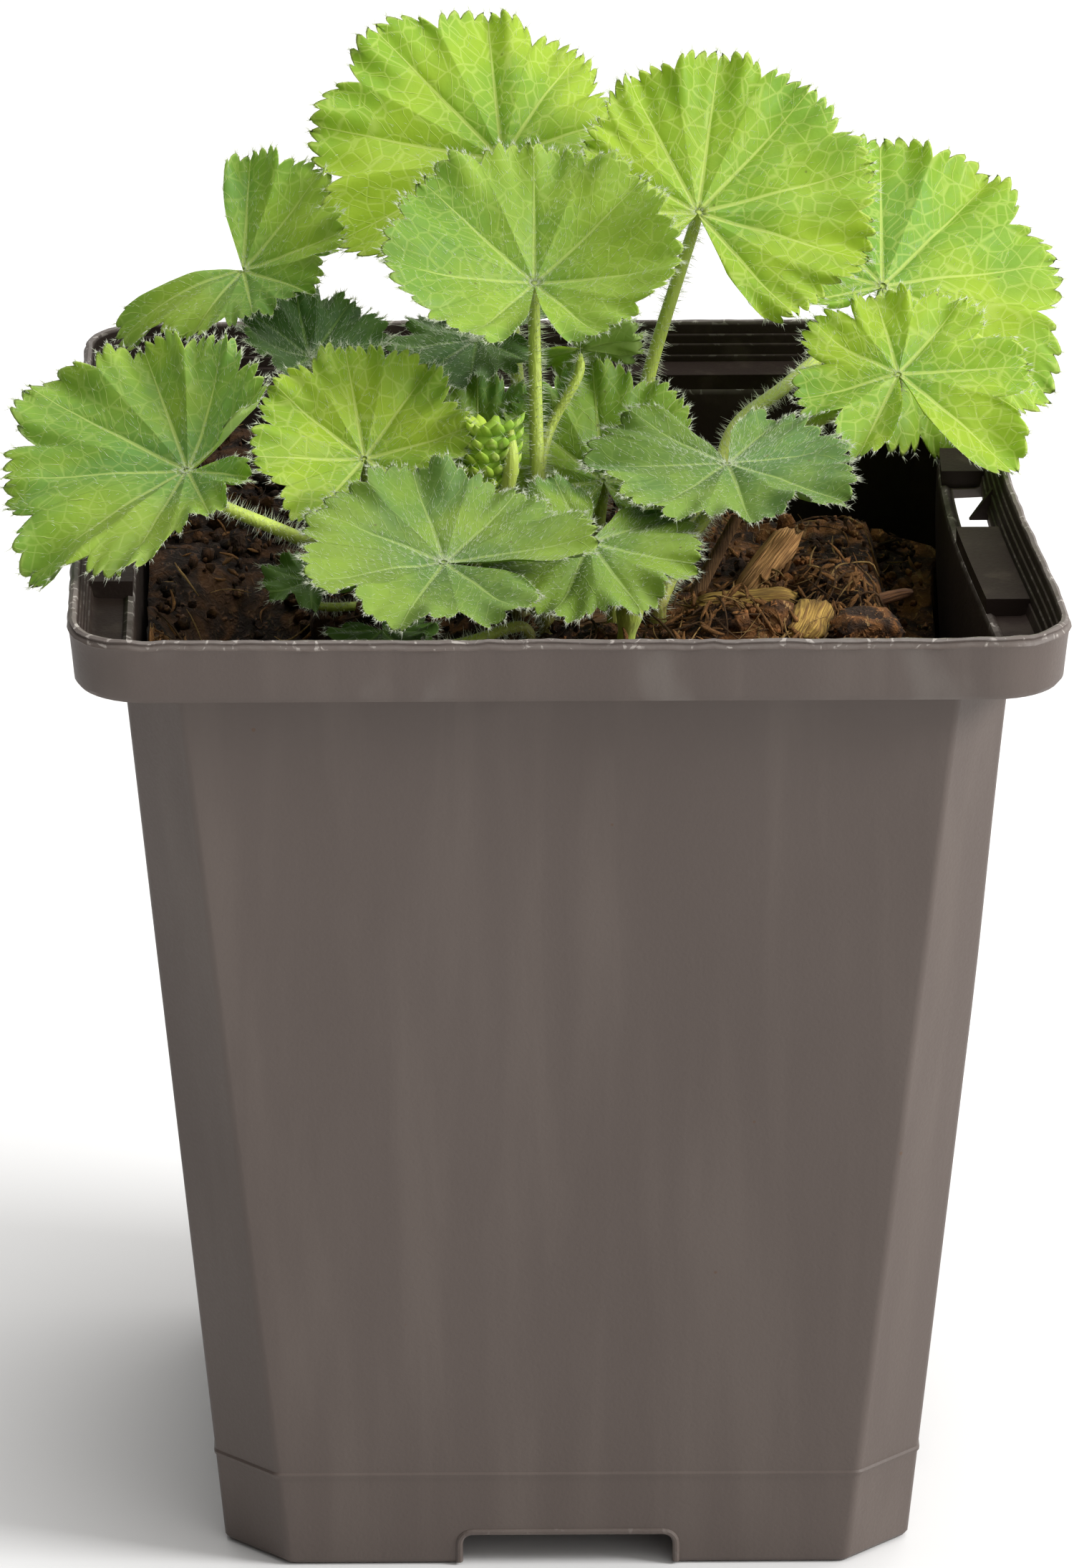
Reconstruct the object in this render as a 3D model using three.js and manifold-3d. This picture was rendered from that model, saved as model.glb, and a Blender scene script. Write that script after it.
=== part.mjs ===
// Potted alchemilla: a soft-leaved perennial in a square nursery pot.
// Millimetres, +Z up, origin on the ground under the middle of the overall box.
import * as THREE from 'three';
import { mergeVertices } from 'three/addons/utils/BufferGeometryUtils.js';
import Module from 'manifold-3d';

// ---------------------------------------------------------------- pot
const RIM_HALF = 55;          // half width over the rim
const RIM_CORNER = 8;         // corner radius of the rim
const POT_HEIGHT = 117;
const COLLAR_HEIGHT = 7.5;    // upright band round the top
const BODY_TOP_HALF = 49;     // half width just under the collar
const BODY_BASE_HALF = 38.7;  // half width at the ground
const CHAMFER_TOP = 6.2;      // corner chamfer leg under the collar
const CHAMFER_BASE = 7.15;    // corner chamfer leg at the ground
const WALL = 1.05;
const FLOOR = 1.4;
const CHANNEL_WIDTH = 24.5;   // drain channel across the base, both ways
const CHANNEL_HEIGHT = 4.2;
const DRAIN_RADIUS = 4;
const DRAIN_PITCH = 22;
const BOW_DEPTH = 22;         // the right wall is pushed in near the top
const BOW_LOW = 67;
const BOW_FULL = 112;
const GAP = 0.35;             // clearance between touching pieces

// ---------------------------------------------------------------- plant
const POT_X = 2.6;            // pot axis from the overall centre line
const BLADE = 0.5;            // leaf thickness
const STALK = 0.85;           // leaf stalk radius
const STEPS_PER_LOBE = 4;
const RINGS = [0.4, 0.75, 1];
const SOIL = 105.4;           // mean compost level
const CROWN = { x: 3, y: -9, z: 102, radius: 8, long: 1.5, high: 5 };

// Each leaf: hub on the stalk tip, radius to the lobe tips, then turn, pitch and lean in
// degrees. reach holds one length factor per lobe and lift bends lobes up or down. root is the
// stalk's foot and via the points it passes on its way up.
const LEAVES = {
  back_left: { hub: [-6.5, 30, 144.5], radius: 21.5, turn: 35, pitch: 52, lean: -10, cone: 8, span: 330,
    reach: [0.6, 0.8, 1, 1.03, 1, 0.92, 0.78, 0.66, 0.6], lift: [0, 0, 0, 0, 0, -0.3, -0.4, -0.4, -0.2],
    root: [-2, 0], via: [[-3, 9, 113], [-5, 21, 122]] },
  top_middle: { hub: [-3.2, 5, 138], radius: 16.5, turn: 0, pitch: 30, lean: 0, cone: 22, span: 320,
    reach: [1.05, 1.12, 1.08, 1, 1.05, 1.05, 1], root: [-2.5, -4],
    via: [[-2.8, -1.6, 114], [-3, 2.4, 123]] },
  back_right: { hub: [15.4, 15, 143], radius: 20, turn: -4, pitch: 48, lean: 5, cone: 5, span: 300,
    reach: [0.35, 0.5, 0.75, 0.9, 0.98, 1, 1.03, 1, 0.85], lift: [0.2, 0.2, 0, 0, 0, 0, 0, 0, 0],
    root: [7, 5], via: [[8.5, 11, 115], [9.8, 14.5, 123]] },
  far_right: { hub: [37.2, 35, 127.5], radius: 22.5, turn: -33, pitch: 31, lean: 8, cone: 4, span: 330,
    reach: [0.5, 0.6, 0.78, 0.95, 0.98, 0.92, 0.86, 0.95, 0.95],
    root: [9.5, -2], via: [[16.5, 2, 112.5], [19.5, 10.5, 118.5], [26, 19.5, 121]] },
  right: { hub: [38, 8, 126], radius: 15.5, turn: 15, pitch: 33, lean: 5, cone: 5, span: 340,
    pleat: 0.3, depth: 0.3, reach: [0.85, 0.8, 0.75, 0.75, 0.8, 0.95, 1.15], root: [11.5, -7],
    via: [[16, -1, 112.5], [24, 5, 117], [29, 6.5, 121]] },
  front_right: { hub: [18.3, -8, 121], radius: 15, turn: -170, pitch: 8, lean: 0, cone: 3, span: 330,
    reach: [0.85, 0.9, 1.05, 0.95, 1, 1.08, 1], root: [10.5, -17] },
  middle: { hub: [4.6, 4, 114.7], radius: 14, turn: 5, pitch: 50, lean: 0, cone: 5, span: 320,
    reach: [0.7, 0.9, 1, 1, 0.95, 0.7, 0.5], root: [4, 4.5] },
  front_middle: { hub: [2.6, -22, 116.7], radius: 12.5, turn: 160, pitch: 20, lean: 0, cone: -2, span: 330,
    reach: [1, 1, 1, 1, 1, 1, 1], root: [5.5, -20] },
  front_left: { hub: [-13.6, -28, 116.5], radius: 16.5, turn: 62, pitch: 14, lean: 0, cone: 10, span: 348,
    reach: [1, 1, 1, 1, 1, 0.84, 1.04], root: [-2, -19] },
  left_middle: { hub: [-22.4, -6, 121], radius: 13.5, turn: 10, pitch: 40, lean: 0, cone: 20, span: 320,
    reach: [1, 1, 1, 1, 1, 0.95, 0.8], root: [-4, -12], via: [[-13, -10, 112.5]] },
  left: { hub: [-42, -22, 125.3], radius: 20.5, turn: 80, pitch: 18, lean: -18, cone: 14, span: 330,
    reach: [0.5, 0.66, 0.95, 1.1, 1.02, 1.15, 0.95, 0.75, 0.6],
    lift: [0, 0, -0.15, -0.25, -0.08, 0, 0, 0.2, 0.2], root: [-5, -15.5], via: [[-20, -19.5, 112.5], [-32, -21, 118]] },
  far_left: { hub: [-36.2, 25, 133], radius: 15.5, turn: -135, pitch: 32, lean: -12, cone: 20, span: 285,
    reach: [0.95, 0.95, 0.85, 0.75, 0.7, 0.8, 1.1], lift: [0, 0, 0, 0, 0, -0.2, -0.5], root: [-7.5, -3],
    via: [[-18, 20, 114], [-32, 29.5, 124]] },
  shaded_left: { hub: [-28.5, 18, 125], radius: 9.5, turn: 20, pitch: 15, lean: 10, cone: 20, span: 320,
    reach: [1, 1, 1, 1, 1, 1, 1], root: [-5, -7.5], via: [[-18, 9, 113]] },
  shaded_middle: { hub: [-9.6, 14, 128.4], radius: 10.5, turn: 80, pitch: 8, lean: -12, cone: 0, span: 320,
    reach: [1, 1, 1, 1, 1, 1, 1], root: [-3.5, 3], via: [[-7.5, 13, 118]] },
  shaded_right: { hub: [2, 12, 128], radius: 7.5, turn: -70, pitch: -45, lean: 0, cone: 6, span: 300,
    reach: [1, 1, 1, 1, 1, 1, 1], root: [1.5, -4], via: [[1.8, 1, 115]] },
  inner: { hub: [-9.6, 7.5, 114.6], radius: 11.5, turn: 0, pitch: 60, lean: 0, cone: 5, span: 190,
    reach: [0.8, 1, 1, 1, 0.8], root: [-6.5, 3] },
  young: { hub: [-7.4, -6.6, 115.8], radius: 10.5, turn: 4, pitch: 78, lean: 0, cone: 0, span: 78,
    pleat: 0.5, depth: 0.08, reach: [0.85, 0.95, 1, 0.97, 0.85], root: [-1, -12], stalk: 1.1 },
  low_left: { hub: [-28.5, -13, 109], radius: 5.6, turn: 60, pitch: 12, lean: -6, cone: 6, span: 300,
    reach: [1, 1, 1, 1, 1], root: [-7, -9], stalk: 0.6 },
  low_front: { hub: [-20.5, -30, 109.4], radius: 6.2, turn: -150, pitch: 8, lean: 0, cone: 4, span: 300,
    reach: [1, 1, 1, 1, 1], root: [-4, -22], stalk: 0.6 },
};

// Pieces lying on the compost: place, turn about Z and tilt in degrees, then length, width, thickness.
const CHIPS = {
  bark_long: { at: [22.8, -5.5], turn: 52, tilt: -28, size: [10, 4.2, 1.6], colour: '#a07a4c' },
  bark_flat: { at: [20, -14], turn: 4, tilt: -3, size: [11.5, 3.2, 1.2], colour: '#9c8048' },
  bark_small: { at: [22.8, -28], turn: -20, tilt: 8, size: [5, 3, 1.1], colour: '#a68c5e' },
  fibre_bundle: { at: [27, -22.5], turn: 78, tilt: -12, size: [7, 4, 2.4], colour: '#6b4a22' },
  peat_lump: { at: [33.4, -25], turn: 10, tilt: 5, size: [7.5, 5.5, 4], colour: '#3a2415' },
  dry_twig: { at: [36, -13], turn: 28, tilt: -4, size: [6.5, 1.3, 1.1], colour: '#6e3a22' },
};

const clamp = THREE.MathUtils.clamp;
const smooth = THREE.MathUtils.smoothstep;
const deg = THREE.MathUtils.degToRad;
const wasm = await Module();
wasm.setup();

// ---------------------------------------------------------------- solids
function solidOf(geometry) {
  const bare = geometry.clone();
  for (const name of ['normal', 'uv']) bare.deleteAttribute(name);
  const merged = mergeVertices(bare, 1e-4);
  return new wasm.Manifold(new wasm.Mesh({
    numProp: 3,
    vertProperties: new Float32Array(merged.attributes.position.array),
    triVerts: new Uint32Array(merged.index.array),
  }));
}

function geometryOf(solid) {
  const mesh = solid.getMesh();
  return indexed(Array.from(mesh.vertProperties), Array.from(mesh.triVerts));
}

function indexed(positions, faces) {
  const geometry = new THREE.BufferGeometry();
  geometry.setAttribute('position', new THREE.Float32BufferAttribute(positions, 3));
  geometry.setIndex(faces);
  geometry.computeVertexNormals();
  return geometry;
}

// A solid skinned over rings of equal point count, closed with a fan at each end.
function ringSolid(rings) {
  const count = rings[0].length;
  const points = rings.flat();
  const faces = [];
  for (let r = 0; r + 1 < rings.length; r++) {
    for (let j = 0; j < count; j++) {
      const a = r * count + j;
      const b = r * count + (j + 1) % count;
      faces.push(a, b, b + count, a, b + count, a + count);
    }
  }
  const ends = [[rings[0], 0, true], [rings.at(-1), (rings.length - 1) * count, false]];
  for (const [ring, start, down] of ends) {
    const middle = ring.reduce((sum, p) => sum.add(p), new THREE.Vector3()).divideScalar(count);
    points.push(middle);
    for (let j = 0; j < count; j++) {
      const pair = [start + j, start + (j + 1) % count];
      if (down) pair.reverse();
      faces.push(points.length - 1, ...pair);
    }
  }
  return solidOf(indexed(points.flatMap((p) => p.toArray()), faces));
}

// ---------------------------------------------------------------- pot shapes
function bowed(point) {
  const along = clamp((point.y + 50) / 100, 0, 1);
  const push = BOW_DEPTH * along ** 1.5 * (1 - along) ** 0.8;
  point.x -= push * smooth(point.z, BOW_LOW, BOW_FULL) * clamp((point.x - 30) / 15, 0, 1);
  return point;
}

// A square ring with corners between a flat chamfer (round 0) and an arc (round 1).
function squareRing(half, corner, round, height, sideSteps = 7, cornerSteps = 3) {
  const ring = [];
  const heightAt = typeof height === 'function' ? height : () => height;
  for (let side = 0; side < 4; side++) {
    const flat = half - corner;
    const run = [];
    for (let i = 0; i < sideSteps; i++) run.push([half, THREE.MathUtils.lerp(-flat, flat, i / sideSteps)]);
    for (let i = 0; i < cornerSteps; i++) {
      const f = i / cornerSteps;
      const arc = [flat + corner * Math.cos(f * Math.PI / 2), flat + corner * Math.sin(f * Math.PI / 2)];
      const cut = [half - corner * f, flat + corner * f];
      run.push([0, 1].map((k) => THREE.MathUtils.lerp(cut[k], arc[k], round)));
    }
    const c = Math.round(Math.cos(side * Math.PI / 2));
    const s = Math.round(Math.sin(side * Math.PI / 2));
    for (const [x, y] of run) {
      const place = new THREE.Vector3(x * c - y * s, x * s + y * c, 0);
      place.z = heightAt(place.x, place.y);
      ring.push(bowed(place));
    }
  }
  return ring;
}

const COLLAR_FOOT = POT_HEIGHT - COLLAR_HEIGHT;
const BODY_LEVELS = [BOW_LOW, 80, 92, 103];

function bodyHalf(z) {
  return THREE.MathUtils.lerp(BODY_BASE_HALF, BODY_TOP_HALF, z / COLLAR_FOOT);
}

function bodyChamfer(z) {
  return THREE.MathUtils.lerp(CHAMFER_BASE, CHAMFER_TOP, z / COLLAR_FOOT);
}

function bodyRing(z, inset) {
  return squareRing(bodyHalf(z) - inset, bodyChamfer(z) - inset * 0.58, 0.15, z);
}

function outerSolid() {
  return ringSolid([
    squareRing(BODY_BASE_HALF - 0.7, CHAMFER_BASE, 0.15, 0),
    bodyRing(0.8, 0),
    ...BODY_LEVELS.map((z) => bodyRing(z, 0)),
    bodyRing(COLLAR_FOOT - 0.3, 0),
    squareRing(RIM_HALF - 0.8, RIM_CORNER - 0.5, 1, COLLAR_FOOT),
    squareRing(RIM_HALF, RIM_CORNER, 1, POT_HEIGHT - 0.4),
    squareRing(RIM_HALF - 0.25, RIM_CORNER - 0.2, 1, POT_HEIGHT),
  ]);
}

function cavitySolid() {
  return ringSolid([
    bodyRing(FLOOR, WALL),
    ...BODY_LEVELS.map((z) => bodyRing(z, WALL)),
    bodyRing(COLLAR_FOOT + 0.6, WALL),
    squareRing(RIM_HALF - 1.7, RIM_CORNER - 1, 1, COLLAR_FOOT + 0.9),
    squareRing(RIM_HALF - 0.9, RIM_CORNER - 0.8, 1, POT_HEIGHT + 1),
  ]);
}

function boxSolid(x, y, z, bend = false) {
  const box = new THREE.BoxGeometry(x[1] - x[0], y[1] - y[0], z[1] - z[0], 1, bend ? 6 : 1, 1);
  box.translate((x[0] + x[1]) / 2, (y[0] + y[1]) / 2, (z[0] + z[1]) / 2);
  return bend ? bentSolid(box) : solidOf(box);
}

function bentSolid(geometry) {
  const spots = geometry.attributes.position;
  const point = new THREE.Vector3();
  for (let i = 0; i < spots.count; i++) {
    bowed(point.fromBufferAttribute(spots, i));
    spots.setXYZ(i, ...point.toArray());
  }
  return solidOf(geometry);
}

// The drain channel's section, with rounded upper corners, run through along Y.
function channelSolid(width, height, radius) {
  const half = width / 2;
  const shape = new THREE.Shape();
  shape.moveTo(-half, -2);
  shape.lineTo(half, -2);
  shape.lineTo(half, height - radius);
  shape.quadraticCurveTo(half, height, half - radius, height);
  shape.lineTo(-half + radius, height);
  shape.quadraticCurveTo(-half, height, -half, height - radius);
  const bar = new THREE.ExtrudeGeometry(shape, { depth: 90, bevelEnabled: false, curveSegments: 3 });
  bar.rotateX(Math.PI / 2).translate(0, 45, 0);
  return solidOf(bar);
}

function crossed(solid) {
  return solid.add(solid.rotate([0, 0, 90]));
}

// Steps and a slot on the inner ledge of one side, where a plant label is pushed in.
function labelSeat(side) {
  const bend = side === 0;
  const turned = (solid) => solid.rotate([0, 0, side * 90]);
  const ledge = COLLAR_FOOT + 0.4;
  const wall = RIM_HALF - 1.2;
  const web = new THREE.Shape();
  web.moveTo(wall - 3, ledge);
  web.lineTo(wall, ledge);
  web.lineTo(wall, ledge + 4.2);
  const gusset = new THREE.ExtrudeGeometry(web, { depth: 0.8, bevelEnabled: false });
  gusset.rotateX(Math.PI / 2).translate(0, 4.5, 0);
  const added = boxSolid([BODY_TOP_HALF - 0.6, wall], [-29, -5], [ledge, ledge + 2.4], bend)
    .add(boxSolid([BODY_TOP_HALF - 0.6, wall], [14, 22], [ledge, ledge + 2.4], bend))
    .add(bend ? bentSolid(gusset) : solidOf(gusset));
  const slot = boxSolid([BODY_TOP_HALF + 0.4, wall - 0.9], [-4.4, 13.4], [ledge - 2, ledge + 0.45], bend);
  return { added: turned(added), slot: turned(slot) };
}

function potSolid() {
  const outer = outerSolid();
  const ridge = crossed(boxSolid([-CHANNEL_WIDTH / 2 - WALL, CHANNEL_WIDTH / 2 + WALL], [-45, 45],
    [0, CHANNEL_HEIGHT + 1.2])).intersect(outer);
  let pot = outer.subtract(cavitySolid()).add(ridge);
  pot = pot.subtract(crossed(channelSolid(CHANNEL_WIDTH, CHANNEL_HEIGHT, 1.4)));
  const hole = new THREE.CylinderGeometry(DRAIN_RADIUS, DRAIN_RADIUS, 4, 16);
  hole.rotateX(Math.PI / 2).translate(0, 0, CHANNEL_HEIGHT + 0.6);
  const drain = solidOf(hole);
  for (const [x, y] of [[0, 0], [1, 0], [0, 1], [-1, 0], [0, -1]]) {
    pot = pot.subtract(drain.translate([x * DRAIN_PITCH, y * DRAIN_PITCH, 0]));
  }
  for (let side = 0; side < 4; side++) {
    const seat = labelSeat(side);
    pot = pot.subtract(seat.slot).add(seat.added);
  }
  return pot;
}

// ---------------------------------------------------------------- compost and crown
function soilHeight(x, y) {
  const lumps = 0.7 * Math.sin(x * 0.31 + 1) * Math.cos(y * 0.27) + 0.5 * Math.sin(x * 0.14 - y * 0.19 + 2);
  let z = SOIL + lumps;
  z = THREE.MathUtils.lerp(z, 91, smooth(x, 36, 42));
  z = THREE.MathUtils.lerp(z, 94, smooth(x, 12, 24) * smooth(y, 16, 28));
  z -= 12 * Math.exp(-(((x + 34) / 7) ** 2) - ((y + 20) / 16) ** 2);
  return z;
}

function crownGeometry(grow) {
  const outline = [];
  for (let i = 0; i <= 6; i++) {
    const a = Math.PI * (i / 6 - 0.5);
    outline.push(new THREE.Vector2(i % 6 ? (CROWN.radius + grow) * Math.cos(a) : 0,
      (CROWN.high + grow) * Math.sin(a)));
  }
  const crown = new THREE.LatheGeometry(outline, 14);
  crown.rotateX(Math.PI / 2).scale(1, CROWN.long, 1);
  return crown.translate(CROWN.x, CROWN.y, CROWN.z);
}

function compostSolid() {
  const low = FLOOR + GAP;
  const wallRing = (part) => {
    const top = (x, y) => THREE.MathUtils.lerp(low, soilHeight(x, y), part);
    const flat = THREE.MathUtils.lerp(low, SOIL, part);
    const ring = squareRing(bodyHalf(flat) - WALL - GAP, bodyChamfer(flat) - 0.8, 0.15, 0);
    return ring.map((p) => {
      const z = top(p.x, p.y);
      const half = bodyHalf(z) - WALL - GAP;
      const pull = half / (bodyHalf(flat) - WALL - GAP);
      return bowed(new THREE.Vector3(p.x * pull, p.y * pull, z));
    });
  };
  const rim = wallRing(1);
  const inner = [0.94, 0.85, 0.72, 0.56, 0.38, 0.2, 0.06].map((s) =>
    rim.map((p) => new THREE.Vector3(p.x * s, p.y * s, soilHeight(p.x * s, p.y * s))));
  const ridge = crossed(boxSolid([-CHANNEL_WIDTH / 2 - WALL - GAP, CHANNEL_WIDTH / 2 + WALL + GAP],
    [-45, 45], [0, CHANNEL_HEIGHT + 1.2 + GAP]));
  return ringSolid([0, 0.3, 0.62, 0.74, 0.86].map(wallRing).concat([rim], inner))
    .subtract(ridge)
    .subtract(solidOf(crownGeometry(GAP)));
}

// ---------------------------------------------------------------- leaves
function bladePoint(leaf, angle, t) {
  const { radius, reach, lift = reach.map(() => 0), span, depth = 0.2, pleat = 0.1, cone } = leaf;
  const place = (angle / deg(span) + 0.5) * reach.length;
  const lobe = clamp(Math.floor(place), 0, reach.length - 1);
  const across = (place - lobe) * 2 - 1;
  const between = (values) => {
    const f = clamp(place - 0.5, 0, values.length - 1);
    const i = Math.min(Math.floor(f), values.length - 2);
    return THREE.MathUtils.lerp(values[i], values[i + 1], f - i);
  };
  const r = t * radius * between(reach) * (1 - depth * Math.abs(across) ** 3);
  const z = r * Math.sin(deg(cone)) + between(lift) * r * t + pleat * r * (Math.abs(across) - 0.5);
  return [r * Math.sin(angle) * Math.cos(deg(cone)), r * Math.cos(angle) * Math.cos(deg(cone)), z];
}

// A thin closed blade: a fan of rings round the hub, open at the base of the leaf.
function bladeGeometry(leaf) {
  const across = leaf.reach.length * STEPS_PER_LOBE;
  const top = [[0, 0, 0]];
  for (const t of RINGS) {
    for (let j = 0; j <= across; j++) top.push(bladePoint(leaf, deg(leaf.span) * (j / across - 0.5), t));
  }
  const at = (ring, j) => 1 + ring * (across + 1) + j;
  const faces = [];
  for (let j = 0; j < across; j++) {
    faces.push([0, at(0, j + 1), at(0, j)]);
    for (let ring = 0; ring + 1 < RINGS.length; ring++) {
      faces.push([at(ring, j), at(ring, j + 1), at(ring + 1, j + 1)]);
      faces.push([at(ring, j), at(ring + 1, j + 1), at(ring + 1, j)]);
    }
  }
  const edge = [0];
  for (let ring = 0; ring < RINGS.length; ring++) edge.push(at(ring, across));
  for (let j = across - 1; j >= 0; j--) edge.push(at(RINGS.length - 1, j));
  for (let ring = RINGS.length - 2; ring >= 0; ring--) edge.push(at(ring, 0));
  const under = top.length;
  const shell = faces.concat(faces.map(([a, b, c]) => [a + under, c + under, b + under]));
  edge.forEach((p, i) => {
    const q = edge[(i + 1) % edge.length];
    shell.push([p, p + under, q + under], [p, q + under, q]);
  });
  const points = top.concat(top.map(([x, y, z]) => [x, y, z - BLADE]));
  return indexed(points.flat(), shell.flat());
}

function stalkGeometry(points, radius, sides = 6, steps = 9) {
  const section = new THREE.Shape(Array.from({ length: sides }, (_, i) => new THREE.Vector2(
    radius * Math.cos(i / sides * 2 * Math.PI), radius * Math.sin(i / sides * 2 * Math.PI))));
  const path = new THREE.CatmullRomCurve3(points, false, 'centripetal');
  return new THREE.ExtrudeGeometry(section, { steps, bevelEnabled: false, extrudePath: path });
}

function leafStalk(leaf, aim) {
  const hub = new THREE.Vector3(...leaf.hub);
  const radius = leaf.stalk ?? STALK;
  const inCrown = ((leaf.root[0] - CROWN.x) / CROWN.radius) ** 2
    + ((leaf.root[1] - CROWN.y) / CROWN.radius / CROWN.long) ** 2;
  const crownTop = CROWN.z + CROWN.high * Math.sqrt(Math.max(0, 1 - inCrown));
  const ground = Math.max(soilHeight(...leaf.root), crownTop) + radius + 0.5;
  const foot = new THREE.Vector3(...leaf.root, ground);
  const neck = hub.clone().addScaledVector(aim, -3);
  const rise = foot.clone().lerp(neck, 0.45);
  rise.z = THREE.MathUtils.lerp(foot.z, neck.z, 0.6);
  const via = leaf.via ? leaf.via.map((p) => new THREE.Vector3(...p)) : [rise];
  const tip = hub.clone().addScaledVector(aim, -BLADE - GAP);
  const start = foot.clone().lerp(via[0], 0.12);
  start.z = foot.z + 1.2;
  return stalkGeometry([foot, start, ...via, neck, tip], radius);
}

// ---------------------------------------------------------------- pieces on the compost
function chipGeometry(length, width, thick) {
  const shape = new THREE.Shape([[-0.5, -0.2], [-0.3, -0.5], [0.25, -0.42], [0.5, -0.1], [0.42, 0.3],
    [0.05, 0.5], [-0.35, 0.35]].map(([x, y]) => new THREE.Vector2(x * length, y * width)));
  const chip = new THREE.ExtrudeGeometry(shape, { depth: thick, bevelEnabled: false });
  return chip.translate(0, 0, -thick / 2);
}

function placeOnSoil(mesh, [x, y]) {
  const spots = mesh.geometry.attributes.position;
  const point = new THREE.Vector3();
  let lift = -Infinity;
  for (let i = 0; i < spots.count; i++) {
    point.fromBufferAttribute(spots, i).applyEuler(mesh.rotation);
    for (const [dx, dy] of [[0, 0], [2, 0], [-2, 0], [0, 2], [0, -2]]) {
      lift = Math.max(lift, soilHeight(x + point.x + dx, y + point.y + dy) - point.z);
    }
  }
  mesh.position.set(x, y, lift + GAP);
}

// ---------------------------------------------------------------- assembly
const plant = new THREE.Group();
plant.position.x = POT_X;

function add(name, geometry, colour, roughness) {
  const mesh = new THREE.Mesh(geometry, new THREE.MeshStandardMaterial({ color: colour, roughness, metalness: 0 }));
  mesh.name = name;
  plant.add(mesh);
  return mesh;
}

add('pot', geometryOf(potSolid()), '#655c58', 0.55);
add('compost', geometryOf(compostSolid()), '#2b1a10', 0.95);
add('crown', crownGeometry(0), '#4a3420', 0.9);

for (const [name, leaf] of Object.entries(LEAVES)) {
  const colour = name.startsWith('shaded') || name.startsWith('low') ? '#3f6a1c' : '#7aa63a';
  const blade = add(`leaf_${name}_blade`, bladeGeometry(leaf), name === 'young' ? '#a4c93c' : colour, 0.6);
  blade.rotation.set(deg(leaf.pitch), deg(leaf.lean), deg(leaf.turn), 'YXZ');
  blade.position.set(...leaf.hub);
  const aim = name === 'young' ? new THREE.Vector3(0.3, 0, 1).normalize()
    : new THREE.Vector3(0, 0, 1).applyEuler(blade.rotation);
  add(`leaf_${name}_stalk`, leafStalk(leaf, aim), '#8fae55', 0.6);
}

for (const [name, chip] of Object.entries(CHIPS)) {
  const mesh = add(name, chipGeometry(...chip.size), chip.colour, 0.9);
  mesh.rotation.set(0, deg(chip.tilt), deg(chip.turn), 'ZYX');
  placeOnSoil(mesh, chip.at);
}

const stub = [[6.6, -25.5, SOIL + 1.6], [7, -26, SOIL + 4], [7.4, -26.6, SOIL + 6.6]];
add('cut_stalk', stalkGeometry(stub.map((p) => new THREE.Vector3(...p)), 1.65, 8, 3), '#6f8f36', 0.6);
const dry = [[15, -10.5, SOIL + 1.4], [17, -9.5, SOIL + 5], [19.4, -8, SOIL + 9.2]];
add('dry_stalk', stalkGeometry(dry.map((p) => new THREE.Vector3(...p)), 0.75, 6, 5), '#7a5a34', 0.9);

const group = new THREE.Group();
group.add(plant);

export default group;
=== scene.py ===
"""Potted alchemilla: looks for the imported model, in metres, in the model's own frame."""
import logging
import math
from dataclasses import dataclass, field
from enum import Enum

import bpy
import numpy as np
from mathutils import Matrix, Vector


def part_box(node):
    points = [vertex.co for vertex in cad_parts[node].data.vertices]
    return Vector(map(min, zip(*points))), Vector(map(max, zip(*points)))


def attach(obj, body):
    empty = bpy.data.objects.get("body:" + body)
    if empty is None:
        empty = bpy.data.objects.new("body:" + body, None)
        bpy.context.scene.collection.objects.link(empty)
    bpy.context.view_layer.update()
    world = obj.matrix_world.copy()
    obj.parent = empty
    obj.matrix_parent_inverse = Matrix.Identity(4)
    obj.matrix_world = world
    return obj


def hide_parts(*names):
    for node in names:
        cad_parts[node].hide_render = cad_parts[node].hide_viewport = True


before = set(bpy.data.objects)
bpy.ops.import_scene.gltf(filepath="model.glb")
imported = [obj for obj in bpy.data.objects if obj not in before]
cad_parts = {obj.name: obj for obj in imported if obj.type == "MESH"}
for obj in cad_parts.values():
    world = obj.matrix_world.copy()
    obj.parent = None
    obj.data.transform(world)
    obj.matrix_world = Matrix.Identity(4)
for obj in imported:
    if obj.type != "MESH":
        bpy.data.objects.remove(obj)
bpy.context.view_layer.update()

MM = 0.001
ROOT = "root"
LOG = logging.getLogger("alchemilla")
Array = np.ndarray


# ------------------------------------------------------------------ helpers
def pot_axis() -> float:
    """The X of the pot's own axis in millimetres."""
    low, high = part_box("pot")
    return (low[0] + high[0]) / 2 / MM


POT_X = pot_axis()


def ease(low: float, high: float, value: Array) -> Array:
    """A smooth step from 0 at low to 1 at high.

    Args:
        low: value where the step starts.
        high: value where the step ends.
        value: values to grade.

    Returns:
        Array: the graded values.
    """
    f = np.clip((value - low) / (high - low), 0.0, 1.0)
    return f * f * (3 - 2 * f)


def grain(points: Array, cell: float, seed: int) -> Array:
    """Smooth seeded noise on a cubic lattice.

    Args:
        points: (n, 3) places.
        cell: lattice size in the unit of the places.
        seed: which pattern.

    Returns:
        Array: n values from -1 to 1.
    """
    q = np.asarray(points, float) / cell
    base = np.floor(q).astype(np.int64)
    f = q - base
    w = f * f * (3 - 2 * f)
    total = np.zeros(len(q))
    with np.errstate(over="ignore"):
        for corner in range(8):
            off = np.array([(corner >> k) & 1 for k in range(3)])
            h = (base + off) @ np.array([374761393, 668265263, 1440670441]) + seed * 1274126177
            h = (h ^ (h >> 13)) * 1274126177
            h = (h ^ (h >> 16)) & 0xFFFF
            total += (h / 32767.5 - 1) * np.prod(np.where(off, w, 1 - w), axis=1)
    return total


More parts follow.
